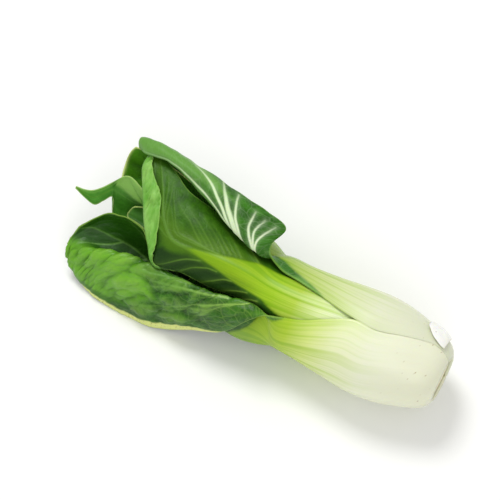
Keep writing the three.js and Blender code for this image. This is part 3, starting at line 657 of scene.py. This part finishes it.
grow_leaf("outer_leaf_far", "leaf_outer_far", far_sheet, far_skin,
          [(0, -1, 9), (7, -1, 9), (7.7, -0.6, 8.3), (8.5, -0.3, 7.7),
           (9.4, 0.1, 7.2), (10.2, 0.8, 6.6), (11, 1.3, 4.4), (12, 1.6, 2.4), (12.6, 2.2, 1.8)],
          1.2, far_veins, upper_side=-1, rim=0.5,
          tint_and_painted_light=[([(7, 9.6, 7), (7.6, 7, 9.6), (8.9, 7, 9.6), (9.9, 9.6, 7)], 3.0, 0.7),
                ([(13.6, 7.2, 6.6), (15.2, 5.8, 8.2), (16.2, 5.4, 8.4), (19, 4.6, 9)], 3.0, 0.8),
                # painted light: this region lightens the inner blade seen deep in the gap under the
                # fold, which lies in shade
                ([(12.4, 3.8, 3.2), (13.4, 2.6, 5), (17, 2.4, 5), (18, 4, 3)], 3.0, 1.0)])


# Outer leaf on the near side
# The leaf next to the viewer. The upper half of its blade folds out and down over the rib until
# its margin lies on the table; the lower half stays as a dark hollow behind the fold, where painted
# shade deepens the real shade.
near_rows = outer_rows([
    (-1.8, 182, 45, 1.8), (0, 182, 46, 2.2), (3.4, 182.6, 47, 3), (8, 184, 48, 3.8),
    (14, 190, 54, 5), (26, 200, 65, 6.2), (42, 209, 75, 6.6), (56, 214, 74, 6.4),
    (70, 219, 86, 6), (84, 222, 101, 5.4), (96, 224, 110, 4.8),
]) + blade_rows(2, [
    (3.6, (108, -20, -17.6), (108, -26.6, -7.6), (108, -28, 2), (108, -25.6, 10.6),
     (107, -20.6, 17), (106, -12.6, 22.6), (106, -11, 24), (106, -11.4, 25.4),
     (106, -12.4, 25.8)),
    (3.2, (118, -15.6, -20.4), (118, -25.6, -13), (118, -30, -2.6), (118, -27, 8),
     (117, -20.4, 16), (114, -9.6, 23.4), (113, -12, 26.6), (112, -15, 26.4), (112, -17.6, 24.6)),
    (2.8, (132, -8.6, -21.4), (132, -21.6, -17), (132, -29.4, -7), (132, -27, 5),
     (131, -20.4, 14.6), (130, -11.6, 22.4), (129, -16.5, 24.2), (128, -24.5, 17.5),
     (128, -31.6, 6)),
    (2.4, (148, -3, -21.4), (148, -17, -19.6), (148, -26, -11), (148, -26.6, 1), (147, -22, 11.5),
     (146, -14.2, 19.6), (146, -19.5, 21), (147, -31, 9.6), (150, -39.8, -8)),
    (2, (166, 0, -12.6), (166, -9, -19), (166, -22, -14.6), (166, -27, -2), (165, -22, 8.6),
     (164, -13.8, 16), (165, -20.5, 17), (167, -36, 3.6), (170, -47.8, -12)),
    (1.6, (185, -8.4, 9), (185, -5, -5.6), (185, -16, -14.6), (185, -24.5, -5), (184, -22, 5),
     (184, -14.4, 12.6), (185, -21.5, 14), (187, -38, 1), (188, -49.6, -13.2)),
    (1.4, (200, 3.4, 9.8), (202, 0, -3.4), (204, -10, -11.4), (206, -20.4, -7), (207, -21, 1),
     (207, -16.8, 8), (209, -24, 9.6), (210, -38, -1.6), (210, -48.4, -12.7)),
    (1.1, (215, 4.6, 9.6), (218, -0.4, -1), (220, -9, -6), (224, -17.4, -5), (225, -21, -1),
     (226, -22, 2.6), (226, -27, 2.6), (226, -37, -4.6), (224, -44.6, -13)),
    (0.9, (227, 0, 6.4), (230, -4, 1), (233, -10, -1.6), (236, -16, -2), (238, -21, -1.6),
     (238.6, -25, -1.6), (238, -29.4, -3), (236.6, -34.4, -6.6), (234, -38.6, -11.6)),
    (0.9, (235, -9, 4.4), (237, -11, 2.2), (239, -14, 1), (240, -17.4, 0), (241, -21, -0.8),
     (241.2, -24.4, -1.8), (240.6, -27.6, -3.4), (239.6, -31, -6), (238, -33.6, -9)),
])

# Glossier than the other leaves, so its crinkles catch the light, with a dry yellow margin. The
# swellings of its crinkles also carry a painted highlight, and their creases painted shade.
near_skin = leaf_skin("fresh leaf, crinkled mid green", STALK_PALE,
                      ["#1f5004", "#38720e"], ["#33661c", "#437826"],
                      [(0, "#e4efcf"), (110, "#93b850"), (170, "#6c9e40"), (240, "#5c9034")],
                      "#86ac40", tint_and_painted_light="#70b122", dark="#1f4e08", strip="#d6df84", net=0.28,
                      gloss=0.38, shine=0.26)
near_sheet = Sheet(near_rows, 10)
in_blade = smooth_share(11, 14, near_sheet.rows)[:, None]
on_flap = smooth_share(4.6, 5.6, near_sheet.cols)[None, :]
off_margin = 1 - 0.75 * smooth_share(7.2, 7.9, near_sheet.cols)[None, :]
near_sheet.lift = ((near_sheet.crinkle(13, 2.0, 1.8, 34, 4.0, True)
                    + near_sheet.crinkle(5.5, 1.0, 1.8, 20, 9.0, True)
                    + near_sheet.crinkle(2.6, 0.4, 1.6, 50, 2.0, True))
                   * (0.25 + 0.75 * on_flap) * in_blade * off_margin)
# the swellings and creases of these folds are also painted as highlight and shade
near_sheet.folds = near_sheet.lift
near_veins = [
    ([(13, 5.3), (15, 5.9), (17, 6.4), (19, 6.8)], 0.8, 0.3),
    ([(12.4, 5.6), (14, 6.4), (15.6, 7.0), (17, 7.4)], 0.8, 0.3),
    ([(14.5, 5.3), (16, 5.8), (17.6, 6.1), (18.8, 6.3)], 0.7, 0.3),
    ([(12.2, 5.4), (13.2, 6.2), (14, 7.0)], 0.7, 0.3),
    ([(13.4, 6.4), (14.4, 6.7), (15.4, 7.2)], 0.5, 0.3),
    ([(15.2, 6.1), (16.2, 6.6), (17.2, 7.2)], 0.5, 0.3),
    ([(12, 2), (15, 2), (18, 2), (19.6, 2)], 3.0, 0.7),
]
near_veins += side_veins(2, 5, [12.5, 13.5, 14.5, 15.5, 16.5, 17.5], 1.6)
near_veins += side_veins(2, 0, [12, 13, 14, 15, 16], 1.6)
grow_leaf("outer_leaf_near", "leaf_outer_near", near_sheet, near_skin,
          [(0, -1, 9), (8.6, -1, 9), (9.6, 0.2, 8.4), (10.6, 0.8, 7.0), (11.6, 1.2, 3.8),
           (12.6, 1.7, 2.3), (13.2, 2.2, 1.8)],
          1.8, near_veins, upper_side=1,
          tint_and_painted_light=[([(14.8, 7.4, 6.2), (16.9, 4.9, 7.6), (20.5, 3.8, 7.9)], 6.0, 0.8)],
          # painted shade in the hollow behind the fold, and a painted shadow line where the fold's
          # margin overhangs the yellow strip
          dark=[([(11.5, -1, 3.6), (20, -1, 3.6)], 3.0, 0.8),
                ([(13, 8, 7.9), (14.4, 7.25, 7.5), (16, 7.42, 7.7), (17.8, 7.48, 7.75),
                  (18.6, 7.9, 7.8)], 0.5, 0.45)],
          strip=[([(12.4, 8.3, 9), (13.2, 7.85, 9), (14.4, 7.55, 9), (15, 7.65, 9),
                   (16, 7.74, 9), (17.75, 7.78, 9), (18.8, 8.2, 9)], 0.4, 1.0)])


# Outer leaf underneath
# The third outer leaf, crisp stalk and soft blade like the others, grown from the same stem. The
# head lies on its stalk, and its blade runs back just above the table.
under_rows = outer_rows([
    (-1.8, 184, 278, 1.8), (0, 184, 278, 2.2), (3.4, 184.6, 278.4, 3), (8, 186, 279, 3.8),
    (14, 192, 281, 5), (26, 202, 285, 6.2), (42, 211, 288, 6.6), (60, 217, 290, 6.4),
    (78, 224, 290, 5.8), (94, 227, 288, 5),
]) + inner_rows([
    (110, 28.4, 28.6, 256, 28, 4, 1.2), (126, 28.9, 32, 257, 27, 3.2, 0.9),
    (146, 29.1, 42, 259, 27, 2.6, 0.9), (168, 28.9, 50, 261, 24, 2.2, 0.9),
    (188, 28.7, 50, 263, 20, 1.7, 0.9), (200, 28.7, 48, 264, 15, 1.3, 0.9),
    (208, 28.7, 48, 265, 9.5, 1.1, 0.9), (212, 28.7, 48, 265, 4, 1, 0.9),
])
under_sheet = Sheet(under_rows, 9, 3.0, 1.4, 8)
grow_leaf("outer_leaf_under", "leaf_outer_under", under_sheet, near_skin,
          [(0, -1, 9), (8.4, -1, 9), (9.4, 0.8, 7.2), (10.6, 2.2, 5.8), (12, 3.3, 4.7),
           (14, 4.3, 3.7)],
          1.8, paired_veins([10, 11, 12, 13, 14], 1.6) + [([(12, 4), (14, 4), (16.4, 4)], 2.4, 0.8)],
          upper_side=-1)


# Second leaf on top
# The leaf in the middle of the view, with its back up: a lime rib runs out of the stalk, bends
# sharply and climbs to the tip. Its left margin is rolled over, so a strip of upper face shows.
top_rows = inner_rows([
    (11, 17.2, 15, 70, 58, 3.4, 1.4), (20, 21.6, 17, 70, 62, 5, 1.5),
    (34, 26, 17.6, 72, 70, 6, 1.5), (50, 27.8, 17.5, 74, 70, 6.4, 1.5),
    (64, 27, 17.4, 75, 70, 6, 1.4), (80, 26.6, 17.4, 79, 70, 5.6, 1.3),
    (96, 25.6, 17.4, 82, 70, 5, 1.2), (110, 25.2, 18, 82, 70, 4.6, 1.1),
]) + blade_rows(4, [
    (4.4, (126, 24.4, 2), (126, 22.6, 10), (126, 18.4, 17), (126, 12, 21.6), (126, 4.6, 23.6),
     (126, -1.4, 22), (126, -5, 20), (126, -7.6, 18), (126, -9.6, 15.6)),
    (3.8, (143, 26.6, 4), (143, 24.6, 12), (143, 19.6, 18.6), (143, 12.6, 22.6), (143, 5, 24.6),
     (143, -1.6, 22.6), (143, -5.4, 20.6), (143, -8.4, 18.6), (143, -10.8, 16)),
    (3, (162, 31.4, 14), (162, 27, 19.6), (162, 20, 23.4), (162, 12, 24.6), (162, 4, 24.8),
     (162, -2, 23.4), (162, -5.4, 21.8), (162, -8.2, 19.8), (162, -10.6, 17.4)),
    (2.4, (172, 33.4, 17), (174, 27.5, 21.4), (176, 20, 24), (177, 12, 24.6), (177, 4.2, 24.4),
     (180, -5, 21.8), (182, -12.4, 17.6), (182, -13, 18.6), (182.4, -11.6, 19.6)),
    (2, (178, 34.6, 18.4), (180, 28.6, 21.6), (182, 22, 23.4), (184, 16, 23.8),
     (184.6, 10.6, 23.4), (187, 3.6, 22), (189, -3, 20), (187.4, -2.2, 22), (184, -1, 23.6)),
    (1.8, (182, 36, 18.6), (184.6, 31, 21), (186.6, 25.6, 22.4), (188.6, 20.6, 22.6),
     (190.6, 16, 22.2), (193.6, 11, 21.2), (196, 6, 19.6), (194, 9.6, 22.4), (189.2, 14.4, 24.2)),
    (1.6, (186, 38, 18.4), (188.6, 34.4, 20), (191, 30.6, 21), (193.4, 27, 21), (196, 23.4, 20.6),
     (199.4, 20, 19.8), (202.4, 16.6, 18.4), (199.6, 20.6, 21.2), (194.6, 26, 22.8)),
    (1.4, (190, 40.4, 17.4), (193, 38, 18.4), (196, 35.6, 19), (199, 33.2, 19), (202, 31, 18.6),
     (205.4, 29, 18), (208.6, 27.4, 17), (206.6, 30.4, 19.2), (203.2, 34, 20.2)),
    (1.1, (199, 45, 15), (201, 43.6, 15.6), (203, 42.2, 16), (205, 41, 16), (207.4, 40, 16),
     (211, 38.8, 15.8), (214, 38, 15.2), (212, 40, 16.6), (209.6, 42, 17.2)),
    (0.9, (206, 48.4, 12.6), (207.4, 48, 12.8), (208.8, 47.6, 13), (210, 47.2, 13),
     (211.2, 46.8, 13.2), (212.6, 46.4, 13.2), (213.8, 46.2, 13.2), (213, 47, 14.2),
     (211.6, 47.8, 14.6)),
])

# The back of a leaf: lime rib, dull olive blade with fine paler veins, lighter rolled margin.
top_skin = leaf_skin("fresh leaf, olive back with a lime rib",
                     [(0, "#f1f4e6"), (55, "#ecf1d8"), (76, "#dbe6ac"), (92, "#b2ca4c"),
                      (106, "#9ec22a"), (135, "#8cb01c"), (165, "#7ea420"), (215, "#68922a")],
                     ["#66a63a", "#8cc05e"], ["#2a540c", "#3d6e12"],
                     [(0, "#b6cf5a"), (150, "#668f2c"), (185, "#56802a"), (220, "#507c2a")],
                     "#94bc5c", tint_and_painted_light="#4e7410", dark="#193410", net=0.0)
top_sheet = Sheet(top_rows, 7, across=18)
top_sheet.lift = ((top_sheet.crinkle(5, 1.0, 1.4, 10, 6.0, True)
                   + top_sheet.crinkle(2.4, 0.5, 1.2, 50, 8.0, True))
                  * smooth_share(9.4, 10.4, top_sheet.rows)[:, None]
                  * smooth_share(6.4, 6.9, top_sheet.cols)[None, :])
# the rolled strip's crinkles are also painted as highlight and shade
top_sheet.folds = -0.9 * top_sheet.lift
top_veins = [
    ([(10, 3.95), (10.88, 3.83), (11.88, 3.73), (12.45, 3.53), (14, 3.0), (16.4, 2.2)], 1.8, 0.6),
    ([(9.15, 3.5), (10.08, 3.45), (10.58, 3.38), (10.9, 3.28), (11.55, 2.7), (12.55, 2.3)],
     0.6, 0.35),
    ([(9.6, 3.4), (10.2, 3.3), (10.68, 3.2), (10.98, 2.9), (11.95, 2.15), (13.5, 1.55)], 0.6, 0.35),
    ([(9.7, 3.45), (10.15, 2.73), (10.83, 1.88), (12.3, 1.45)], 0.5, 0.25),
    ([(9.53, 3.4), (9.93, 2.7), (10.42, 2.0)], 0.32, 0.2),
    ([(9.35, 3.35), (9.73, 2.68), (10.23, 1.93), (11.03, 1.18)], 0.46, 0.2),
    ([(9.18, 3.3), (9.53, 2.65), (9.82, 2.15)], 0.3, 0.2),
    ([(9, 3.23), (9.33, 2.6), (9.75, 1.9), (10.23, 1.23)], 0.36, 0.2),
    ([(8.8, 3.12), (9.15, 2.58), (9.53, 1.88), (9.8, 1.45)], 0.44, 0.2),
    ([(8.6, 3.05), (8.95, 2.5), (9.25, 2.0)], 0.28, 0.2),
    ([(8.43, 2.98), (8.72, 2.45), (9.1, 1.83), (9.4, 1.3)], 0.34, 0.2),
    ([(7.8, 2.6), (8.4, 1.9), (9.0, 1.0)], 0.45, 0.3),
    ([(11.4, 3.7), (12.3, 2.9), (13.4, 2.0), (14.6, 1.2)], 0.45, 0.3),
    ([(12.4, 3.4), (13.4, 2.7), (14.6, 1.9), (15.6, 1.3)], 0.45, 0.3),
    ([(12.2, 3.8), (13.2, 4.2), (14.4, 4.6)], 0.45, 0.3),
    ([(11.2, 4.0), (12.2, 4.5), (13.4, 5.2)], 0.45, 0.3),
    ([(9.6, 4.5), (9.93, 4.8), (10.48, 5.43), (11.0, 6.0)], 0.6, 0.35),
    ([(9.0, 4.8), (9.38, 4.98), (9.8, 6.0), (10.18, 7.7)], 0.6, 0.35),
    ([(8.4, 5.1), (8.72, 5.43), (9.1, 6.6), (9.43, 7.9)], 0.6, 0.35),
    ([(7.7, 5.6), (7.98, 6.03), (8.4, 7.0), (8.7, 7.9)], 0.55, 0.35),
    ([(7.2, 5.9), (7.5, 6.3), (7.8, 7.2), (8, 7.9)], 0.55, 0.35),
]
grow_leaf("second_leaf_top", "leaf_second_top", top_sheet, top_skin,
          [(0, -1, 9), (3.6, -1, 9), (5, 0.0, 8.4), (6.03, 1.18, 6.48), (7.1, 1.9, 5.4),
           (8.1, 2.95, 5.2), (9, 3.5, 4.6), (9.9, 3.78, 4.12), (10.4, 4.1, 3.9)],
          1.2, top_veins, upper_side=-1, quilting=0.35, rim=0.4,
          tint_and_painted_light=[([(8.6, 2.6, 4.4), (10, 2.8, 4.6), (12.4, 2.8, 4.4), (13.4, 3.4, 3.0)], 5.0, 0.7)],
          # painted shade over one half of the blade from the stalk past the bend, and along the
          # inner edge of the rolled strip
          dark=[([(6, 6.9, 9.6), (7, 5.9, 9.6), (8, 5.5, 9.6), (9, 4.9, 9.6), (10, 4.5, 9.6),
                  (11, 4.6, 7), (11.6, 5.4, 4.6)], 2.2, 0.85),
                ([(10.8, 6, 5), (11.4, 4.6, 6.2), (16, 4.4, 6.2)], 2.5, 0.45)])


# Second leaf on the far side
# A full-grown leaf whose stalk lies inside the outer one and joins the stem there. Only the
# hollow dark tip of its thin blade shows past the leaf on top.
second_far_rows = inner_rows([
    (11, 16, 14, -38, 50, 3.4, 1.4), (20, 19.8, 15.4, -37, 56, 4.6, 1.4),
    (34, 23.2, 16.6, -35, 64, 5.4, 1.4), (50, 24.4, 17, -35, 64, 5.8, 1.4),
    (70, 23.4, 16.4, -35, 60, 5.4, 1.3), (92, 21.6, 16.4, -40, 52, 4.6, 1.1),
    (112, 22.6, 20, -46, 44, 3.8, 0.9), (132, 25, 24, -48, 38, 3, 0.9),
]) + blade_rows(4, [
    (2.4, (150, 8, -25), (150, 13, -25), (150, 18, -23), (150, 22.6, -19.6), (150, 26.4, -15),
     (150, 29, -10), (150, 30.4, -5), (150, 31, 0), (150, 30.6, 4)),
    (2, (172, 14, -20), (172, 19, -21), (172, 24.4, -20), (172, 29.4, -17), (172, 33.4, -12.4),
     (172, 36, -7), (172, 37.4, -1), (172, 38, 5), (172, 37.6, 10)),
    (1.6, (194, 19, -14), (194, 24, -16.4), (194, 29, -16.6), (194, 34, -14.6), (194, 38, -10.6),
     (194, 41, -5.4), (194, 42.6, 0), (194, 43.4, 5.4), (194, 43.4, 10.4)),
    (1.3, (212, 21, -8), (212, 25.4, -10.6), (212, 30, -11), (212, 34.4, -9.8), (212, 38.2, -7),
     (212, 41.2, -3), (212, 43.4, 1.4), (212, 45, 5.4), (212, 46.4, 9)),
    (1, (222, 23, -2), (223, 26, -4.6), (223.4, 29.6, -6), (223.6, 33.4, -6), (223.8, 37, -4.4),
     (223.6, 40.4, -1.6), (223, 43, 1.6), (222, 45.2, 5), (220.6, 46.8, 8.2)),
    (0.9, (226.6, 25.2, 3), (228.2, 27.4, 0.6), (229.4, 30, -1), (230, 33, -1.6), (230.2, 36, -1),
     (230, 39, 0.6), (229.2, 41.8, 2.8), (227.8, 44.2, 5.2), (225.8, 46.2, 7.8)),
])

# The upper face in shade: deep even green with a thin pale margin that marks the outline.
dark_skin = leaf_skin("fresh leaf, dark green upper face", STALK_PALE,
                      ["#437d12", "#579a1e"], ["#33681c", "#447a28"],
                      [(0, "#dfeac2"), (130, "#a9cc6a"), (180, "#3f7a28"), (230, "#3a7222")],
                      "#bccb78", net=0.12)
second_far_sheet = Sheet(second_far_rows, 8, 3.0, 1.2, 9)
grow_leaf("second_leaf_far", "leaf_second_far", second_far_sheet, dark_skin,
          [(0, -1, 9), (4, -1, 9), (5.2, 0.8, 7.4), (6.2, 2.4, 5.8), (8, 3.4, 4.6),
           (9.4, 4.3, 3.7)],
          1.6, paired_veins([7, 8, 9, 10, 11], 1.4) + [([(8.6, 4), (10.5, 4), (12.4, 4)], 1.6, 0.6)],
          upper_side=-1, rim=1.0, rim_width=1.5)


# Second leaf on the near side
# A full-grown leaf, held between the near outer leaf and the leaf on top by the wide foot of its
# stalk. It lies low and is nearly hidden.
second_near_rows = inner_rows([
    (11, 16.8, 15, 196, 56, 3.4, 1.4), (20, 21.2, 16.4, 200, 60, 4.8, 1.4),
    (34, 24.8, 17, 206, 62, 5.6, 1.4), (50, 26, 17, 211, 62, 5.8, 1.4),
    (66, 24.8, 17, 217, 62, 5.4, 1.3), (84, 23, 16.6, 220, 58, 4.8, 1.1),
    (102, 21.2, 16, 214, 54, 4, 0.9), (120, 19.8, 16, 208, 50, 3.4, 0.9),
    (138, 19, 16, 206, 46, 2.8, 0.9), (154, 17.6, 15, 208, 36, 2, 0.9),
    (164, 16, 14, 210, 16, 1.3, 0.9),
])
second_near_sheet = Sheet(second_near_rows, 6, 3.0, 1.4, 8)
grow_leaf("second_leaf_near", "leaf_second_near", second_near_sheet, dark_skin,
          [(0, -1, 9), (4, -1, 9), (5.2, 0.8, 7.4), (6.2, 2.4, 5.8), (8, 3.4, 4.6),
           (9, 4.3, 3.7)],
          1.6, paired_veins([6, 7, 8], 1.2), upper_side=-1)


# Inner leaves
# Two younger leaves inside the ring: one ends in a long thin tip that curls back, the other is
# round. Their tips stand out between the two outer blades.
pointed_rows = inner_rows([
    (13, 12, 8, 0, 60, 2.6, 1.2), (30, 14.6, 9.4, 0, 62, 3.6, 1.2), (52, 15, 9.8, 0, 64, 4, 1.2),
    (80, 14.6, 9.8, 0, 62, 3.6, 1), (110, 14, 10.4, 2, 60, 3, 0.9), (140, 16, 13, 2, 54, 2.4, 0.9),
    (168, 18, 14, 2, 50, 2, 0.9),
]) + blade_rows(4, [
    (1.6, (192, 7, -11.4), (192, 10.4, -10.6), (192, 13.4, -8.6), (192, 15.6, -5.6),
     (192, 17, -2), (192, 17.8, 2), (192, 19, 5.4), (191, 20.6, 8), (190, 22, 10)),
    (1.3, (209, 3, -9.6), (209, 7, -9), (209, 10.6, -7.6), (209, 13.6, -5), (209, 15.6, -2),
     (209, 16.8, 1.4), (208, 19.2, 5), (207.4, 21.8, 8.2), (207, 24.2, 11.4)),
    (1.2, (224, 1.8, -6.4), (226, 5.6, -5.8), (227.6, 9.6, -4.6), (228.8, 13.4, -3.2),
     (229, 17, -1.4), (228.6, 20.4, 0.6), (227.4, 23, 3.2), (226, 25.2, 6), (224, 27, 9)),
    (1, (228.4, 12.6, -2.6), (228.8, 13.7, -2.2), (229.2, 14.8, -1.8), (229.6, 15.9, -1.4),
     (230, 17, -1), (230.4, 18, -0.6), (230.8, 19, 0), (231.2, 19.9, 0.6), (231.6, 20.8, 1.2)),
    (1, (232.6, 8.4, -3), (233.1, 9.4, -2.7), (233.6, 10.4, -2.4), (234, 11.3, -2.1),
     (234.5, 12.2, -1.8), (235, 13, -1.5), (235.5, 13.8, -1.2), (236, 14.6, -0.9),
     (236.6, 15.4, -0.6)),
    (0.9, (237, 3.6, -3), (237.6, 4.6, -2.8), (238.2, 5.6, -2.6), (238.8, 6.6, -2.4),
     (239.4, 7.6, -2.2), (240, 8.6, -2), (240.6, 9.5, -1.8), (241.2, 10.4, -1.6),
     (241.8, 11.2, -1.4)),
    (0.9, (244, 4.8, -2), (244.4, 5.4, -2), (244.8, 6, -2), (245.2, 6.6, -2), (245.6, 7.2, -2),
     (246, 7.8, -2), (246.4, 8.4, -2), (246.8, 9, -2), (247.2, 9.6, -2)),
    (0.9, (252, 7.6, -1), (252, 7.8, -1), (252, 8, -1), (252, 8.2, -1), (252, 8.4, -1),
     (252, 8.6, -1), (252, 8.8, -1), (252, 9, -1), (252, 9.2, -1)),
])

# A younger leaf: lighter, thinner and smoother, with a bright curled tip.
inner_skin = leaf_skin("young leaf, light green", STALK_PALE,
                       ["#2f6c10", "#468726"], ["#357018", "#488a26"],
                       [(0, "#dfeac2"), (130, "#a9c86e"), (180, "#63993e"), (250, "#5a9038")],
                       "#a9c874", tint_and_painted_light="#92c65c", net=0.12)
pointed_sheet = Sheet(pointed_rows, 6, 3.0, 1.0, 6)
grow_leaf("inner_leaf_pointed", "leaf_inner_pointed", pointed_sheet, inner_skin,
          [(0, -1, 9), (3, -1, 9), (4, 1.4, 6.6), (6, 3.4, 4.6), (7, 4.4, 3.6)],
          1.2, paired_veins([5.5, 6.5, 7.5], 1.2) + [([(6, 4), (8, 4), (10, 4)], 1.2, 0.5)],
          upper_side=-1, quilting=0.3,
          tint_and_painted_light=[([(6, 7, 6), (7, 5, 9), (9, 5, 9), (9.8, 7, 6)], 2.0, 0.8)])

round_rows = inner_rows([
    (13, 11.4, 7.6, 140, 56, 2.6, 1.2), (30, 13.8, 8.8, 140, 58, 3.4, 1.2),
    (52, 14, 9, 140, 60, 3.8, 1.2), (80, 13.6, 9, 138, 60, 3.4, 1), (110, 13, 9, 130, 60, 2.8, 0.9),
    (138, 13.4, 10.6, 112, 56, 2.2, 0.9),
]) + blade_rows(4, [
    (1.8, (166, 12.6, 5), (166, 11.6, 7), (166, 10, 8.6), (166, 7.8, 9.6), (166, 5.2, 10),
     (166, 2.6, 9.8), (166, 0.2, 9.2), (166, -2, 8.4), (166, -4, 7.4)),
    (1.4, (190, 15.4, 7.6), (190, 13.8, 6), (190, 12, 4.8), (190, 9.8, 4), (190, 7.4, 3.6),
     (190, 5.4, 3.6), (190, 3.2, 3.8), (190, 1.4, 4.4), (190, 0, 5.4)),
    (1.1, (204, 15.6, 6.8), (205, 14.4, 5), (206, 12.8, 3.6), (206, 10.8, 2.6), (206, 8.4, 2.2),
     (206, 6.6, 2), (206, 5.6, 2.2), (206, 4.9, 2.7), (205, 4.6, 3.4)),
    (0.9, (209, 13.6, 6.4), (211, 12.8, 5), (212.6, 11.4, 3.8), (213.4, 9.8, 3.2), (213.8, 8, 3),
     (213.8, 7, 2.9), (213.4, 6.2, 3), (212.6, 5.6, 3.3), (211.4, 5.2, 3.8)),
])
round_sheet = Sheet(round_rows, 5, 3.0, 1.0, 6)
grow_leaf("inner_leaf_round", "leaf_inner_round", round_sheet, dark_skin,
          [(0, -1, 9), (3, -1, 9), (4, 1.4, 6.6), (5, 3.2, 4.8), (6, 4.4, 3.6)],
          1.2, paired_veins([5, 6, 7], 1.2), upper_side=-1, quilting=0.3, rim=0.6, rim_width=1.1)


# Heart leaves
# The two smallest leaves in the middle of the head, still growing from the tip of the stem. They
# are tender and pale yellow green, because no light has reached them yet.
heart_low_rows = inner_rows([
    (13.5, 8, 5.4, 270, 58, 2, 1.1), (34, 9, 6, 270, 60, 2.8, 1.1), (60, 9, 6, 270, 60, 2.8, 1),
    (86, 8.6, 6, 270, 56, 2.2, 0.9), (108, 8, 6, 270, 46, 1.6, 0.9),
    (122, 7.4, 6, 270, 18, 1.1, 0.9),
])
heart_high_rows = inner_rows([
    (13.5, 8, 4.4, 84, 56, 1.8, 1.1), (34, 9, 5, 84, 60, 2.4, 1.1), (60, 9, 5, 84, 60, 2.4, 1),
    (84, 8.6, 5, 84, 54, 2, 0.9), (102, 8, 5, 84, 40, 1.5, 0.9), (112, 7.6, 5, 84, 16, 1.1, 0.9),
])

# A leaf grown in the dark: tender and almost without green, so it glows pale between the others.
heart_skin = leaf_skin("heart leaf, pale yellow green",
                       [(0, "#eef1e4"), (60, "#dfeab0"), (120, "#bcd878")],
                       ["#a8cf60", "#b8d878"], ["#b4d672", "#c2dd88"],
                       [(0, "#e8f0c0"), (120, "#d6e8a0")], "#c6de8c", net=0.1)
for name, node, rows in (("heart_leaf_low", "leaf_heart_a", heart_low_rows),
                         ("heart_leaf_high", "leaf_heart_b", heart_high_rows)):
    grow_leaf(name, node, Sheet(rows, 2, 3.0, 1.6, 4), heart_skin,
              [(0, -1, 9), (2, 0, 8), (3, 3, 5), (5, 3.8, 4.2)],
              1.0, paired_veins([2.5, 3.2], 1.0), upper_side=-1, quilting=0.2)


# Leaf stub
# What is left of an older outer leaf that was pulled off when the head was trimmed: a thin white
# flake of stalk that still holds to the base.
stub_rows = inner_rows([
    (3, 23.6, 23, 22, 24, 1.5, 0.9), (6, 25.4, 24.6, 22, 25, 1.7, 0.9),
    (10, 27.2, 26.4, 22, 22, 1.6, 0.9), (14, 28.6, 27.8, 23, 15, 1.4, 0.9),
    (17, 29.6, 28.8, 24, 6, 1, 0.9),
])

# Dried flesh with no skin left on it: the whitest spot on the head, a little matt.
stub_skin = leaf_skin("torn stalk stub, white", [(0, "#e9e6d6"), (6, "#f4f4ee"), (40, "#f4f5ee")],
                      ["#f2f3ea", "#f4f5ee"], ["#f2f3ea", "#f4f5ee"],
                      [(0, "#f2f3ea"), (20, "#f2f3ea")], "#e9e6d6", net=0.0)
stub_sheet = Sheet(stub_rows, 0, 0.5, 0.5, 10)
stub_sheet.lift = stub_sheet.crinkle(4, 0.25, 1.0, 0, 2.0)
grow_leaf("leaf_stub_scar", "leaf_stub", stub_sheet, stub_skin,
          [(0, -1, 9), (5, -1, 9)], 1.0, [], upper_side=-1, quilting=0.0)


# Table, light and camera
# A plain pale table under soft light from above. The camera looks down on the head as in the
# photograph, with a long lens.
TABLE_HALF = 2.5                    # m
ROOM_LIGHT = 0.64

# Matt and almost white, so that only the soft shadow of the head shows on it.
table_paint = bpy.data.materials.new("matt white board")
table_paint.use_nodes = True
table_paint.node_tree.nodes["Principled BSDF"].inputs["Base Color"].default_value = hue("#f6f6f4")
table_paint.node_tree.nodes["Principled BSDF"].inputs["Roughness"].default_value = 0.85
bm = bmesh.new()
bmesh.ops.create_grid(bm, x_segments=1, y_segments=1, size=TABLE_HALF)
table_mesh = bpy.data.meshes.new("table")
bm.to_mesh(table_mesh)
bm.free()
table_mesh.materials.append(table_paint)
table = bpy.data.objects.new("table", table_mesh)
bpy.context.scene.collection.objects.link(table)

world = bpy.data.worlds.new("studio")
bpy.context.scene.world = world
world.use_nodes = True
world.node_tree.nodes["Background"].inputs["Color"].default_value = (1, 1, 1, 1)
world.node_tree.nodes["Background"].inputs["Strength"].default_value = ROOM_LIGHT


def soft_light(name, place, size, power):
    """A round lamp that faces the head: place and size in m, power in W."""
    lamp = bpy.data.lights.new(name, "AREA")
    lamp.shape, lamp.size, lamp.energy = "DISK", size, power
    obj = bpy.data.objects.new(name, lamp)
    obj.location = place
    obj.rotation_euler = (-Vector(place)).to_track_quat("-Z", "Y").to_euler()
    bpy.context.scene.collection.objects.link(obj)


soft_light("key", (-0.45, 0.4, 1.2), 0.5, 9)
soft_light("fill", (0.6, -0.9, 0.9), 0.9, 4)

bpy.context.scene.view_settings.view_transform = "Standard"
CAMERA_AWAY = 1.1                   # m
AZIMUTH, ELEVATION = math.radians(28), math.radians(65)
LOOKED_AT = 115                     # mm along the head from its cut face
looked_at = Vector((HEAD_X - LOOKED_AT, HEAD_Y, HEAD_Z)) * MM
towards = Vector((math.sin(AZIMUTH) * math.cos(ELEVATION),
                  -math.cos(AZIMUTH) * math.cos(ELEVATION), math.sin(ELEVATION)))
lens = bpy.data.cameras.new("camera")
lens.lens = 132
lens.shift_x = -0.0324
lens.shift_y = 0.088
camera = bpy.data.objects.new("camera", lens)
camera.location = looked_at + towards * CAMERA_AWAY
camera.rotation_euler = (-towards).to_track_quat("-Z", "Y").to_euler()
bpy.context.scene.collection.objects.link(camera)
bpy.context.scene.camera = camera
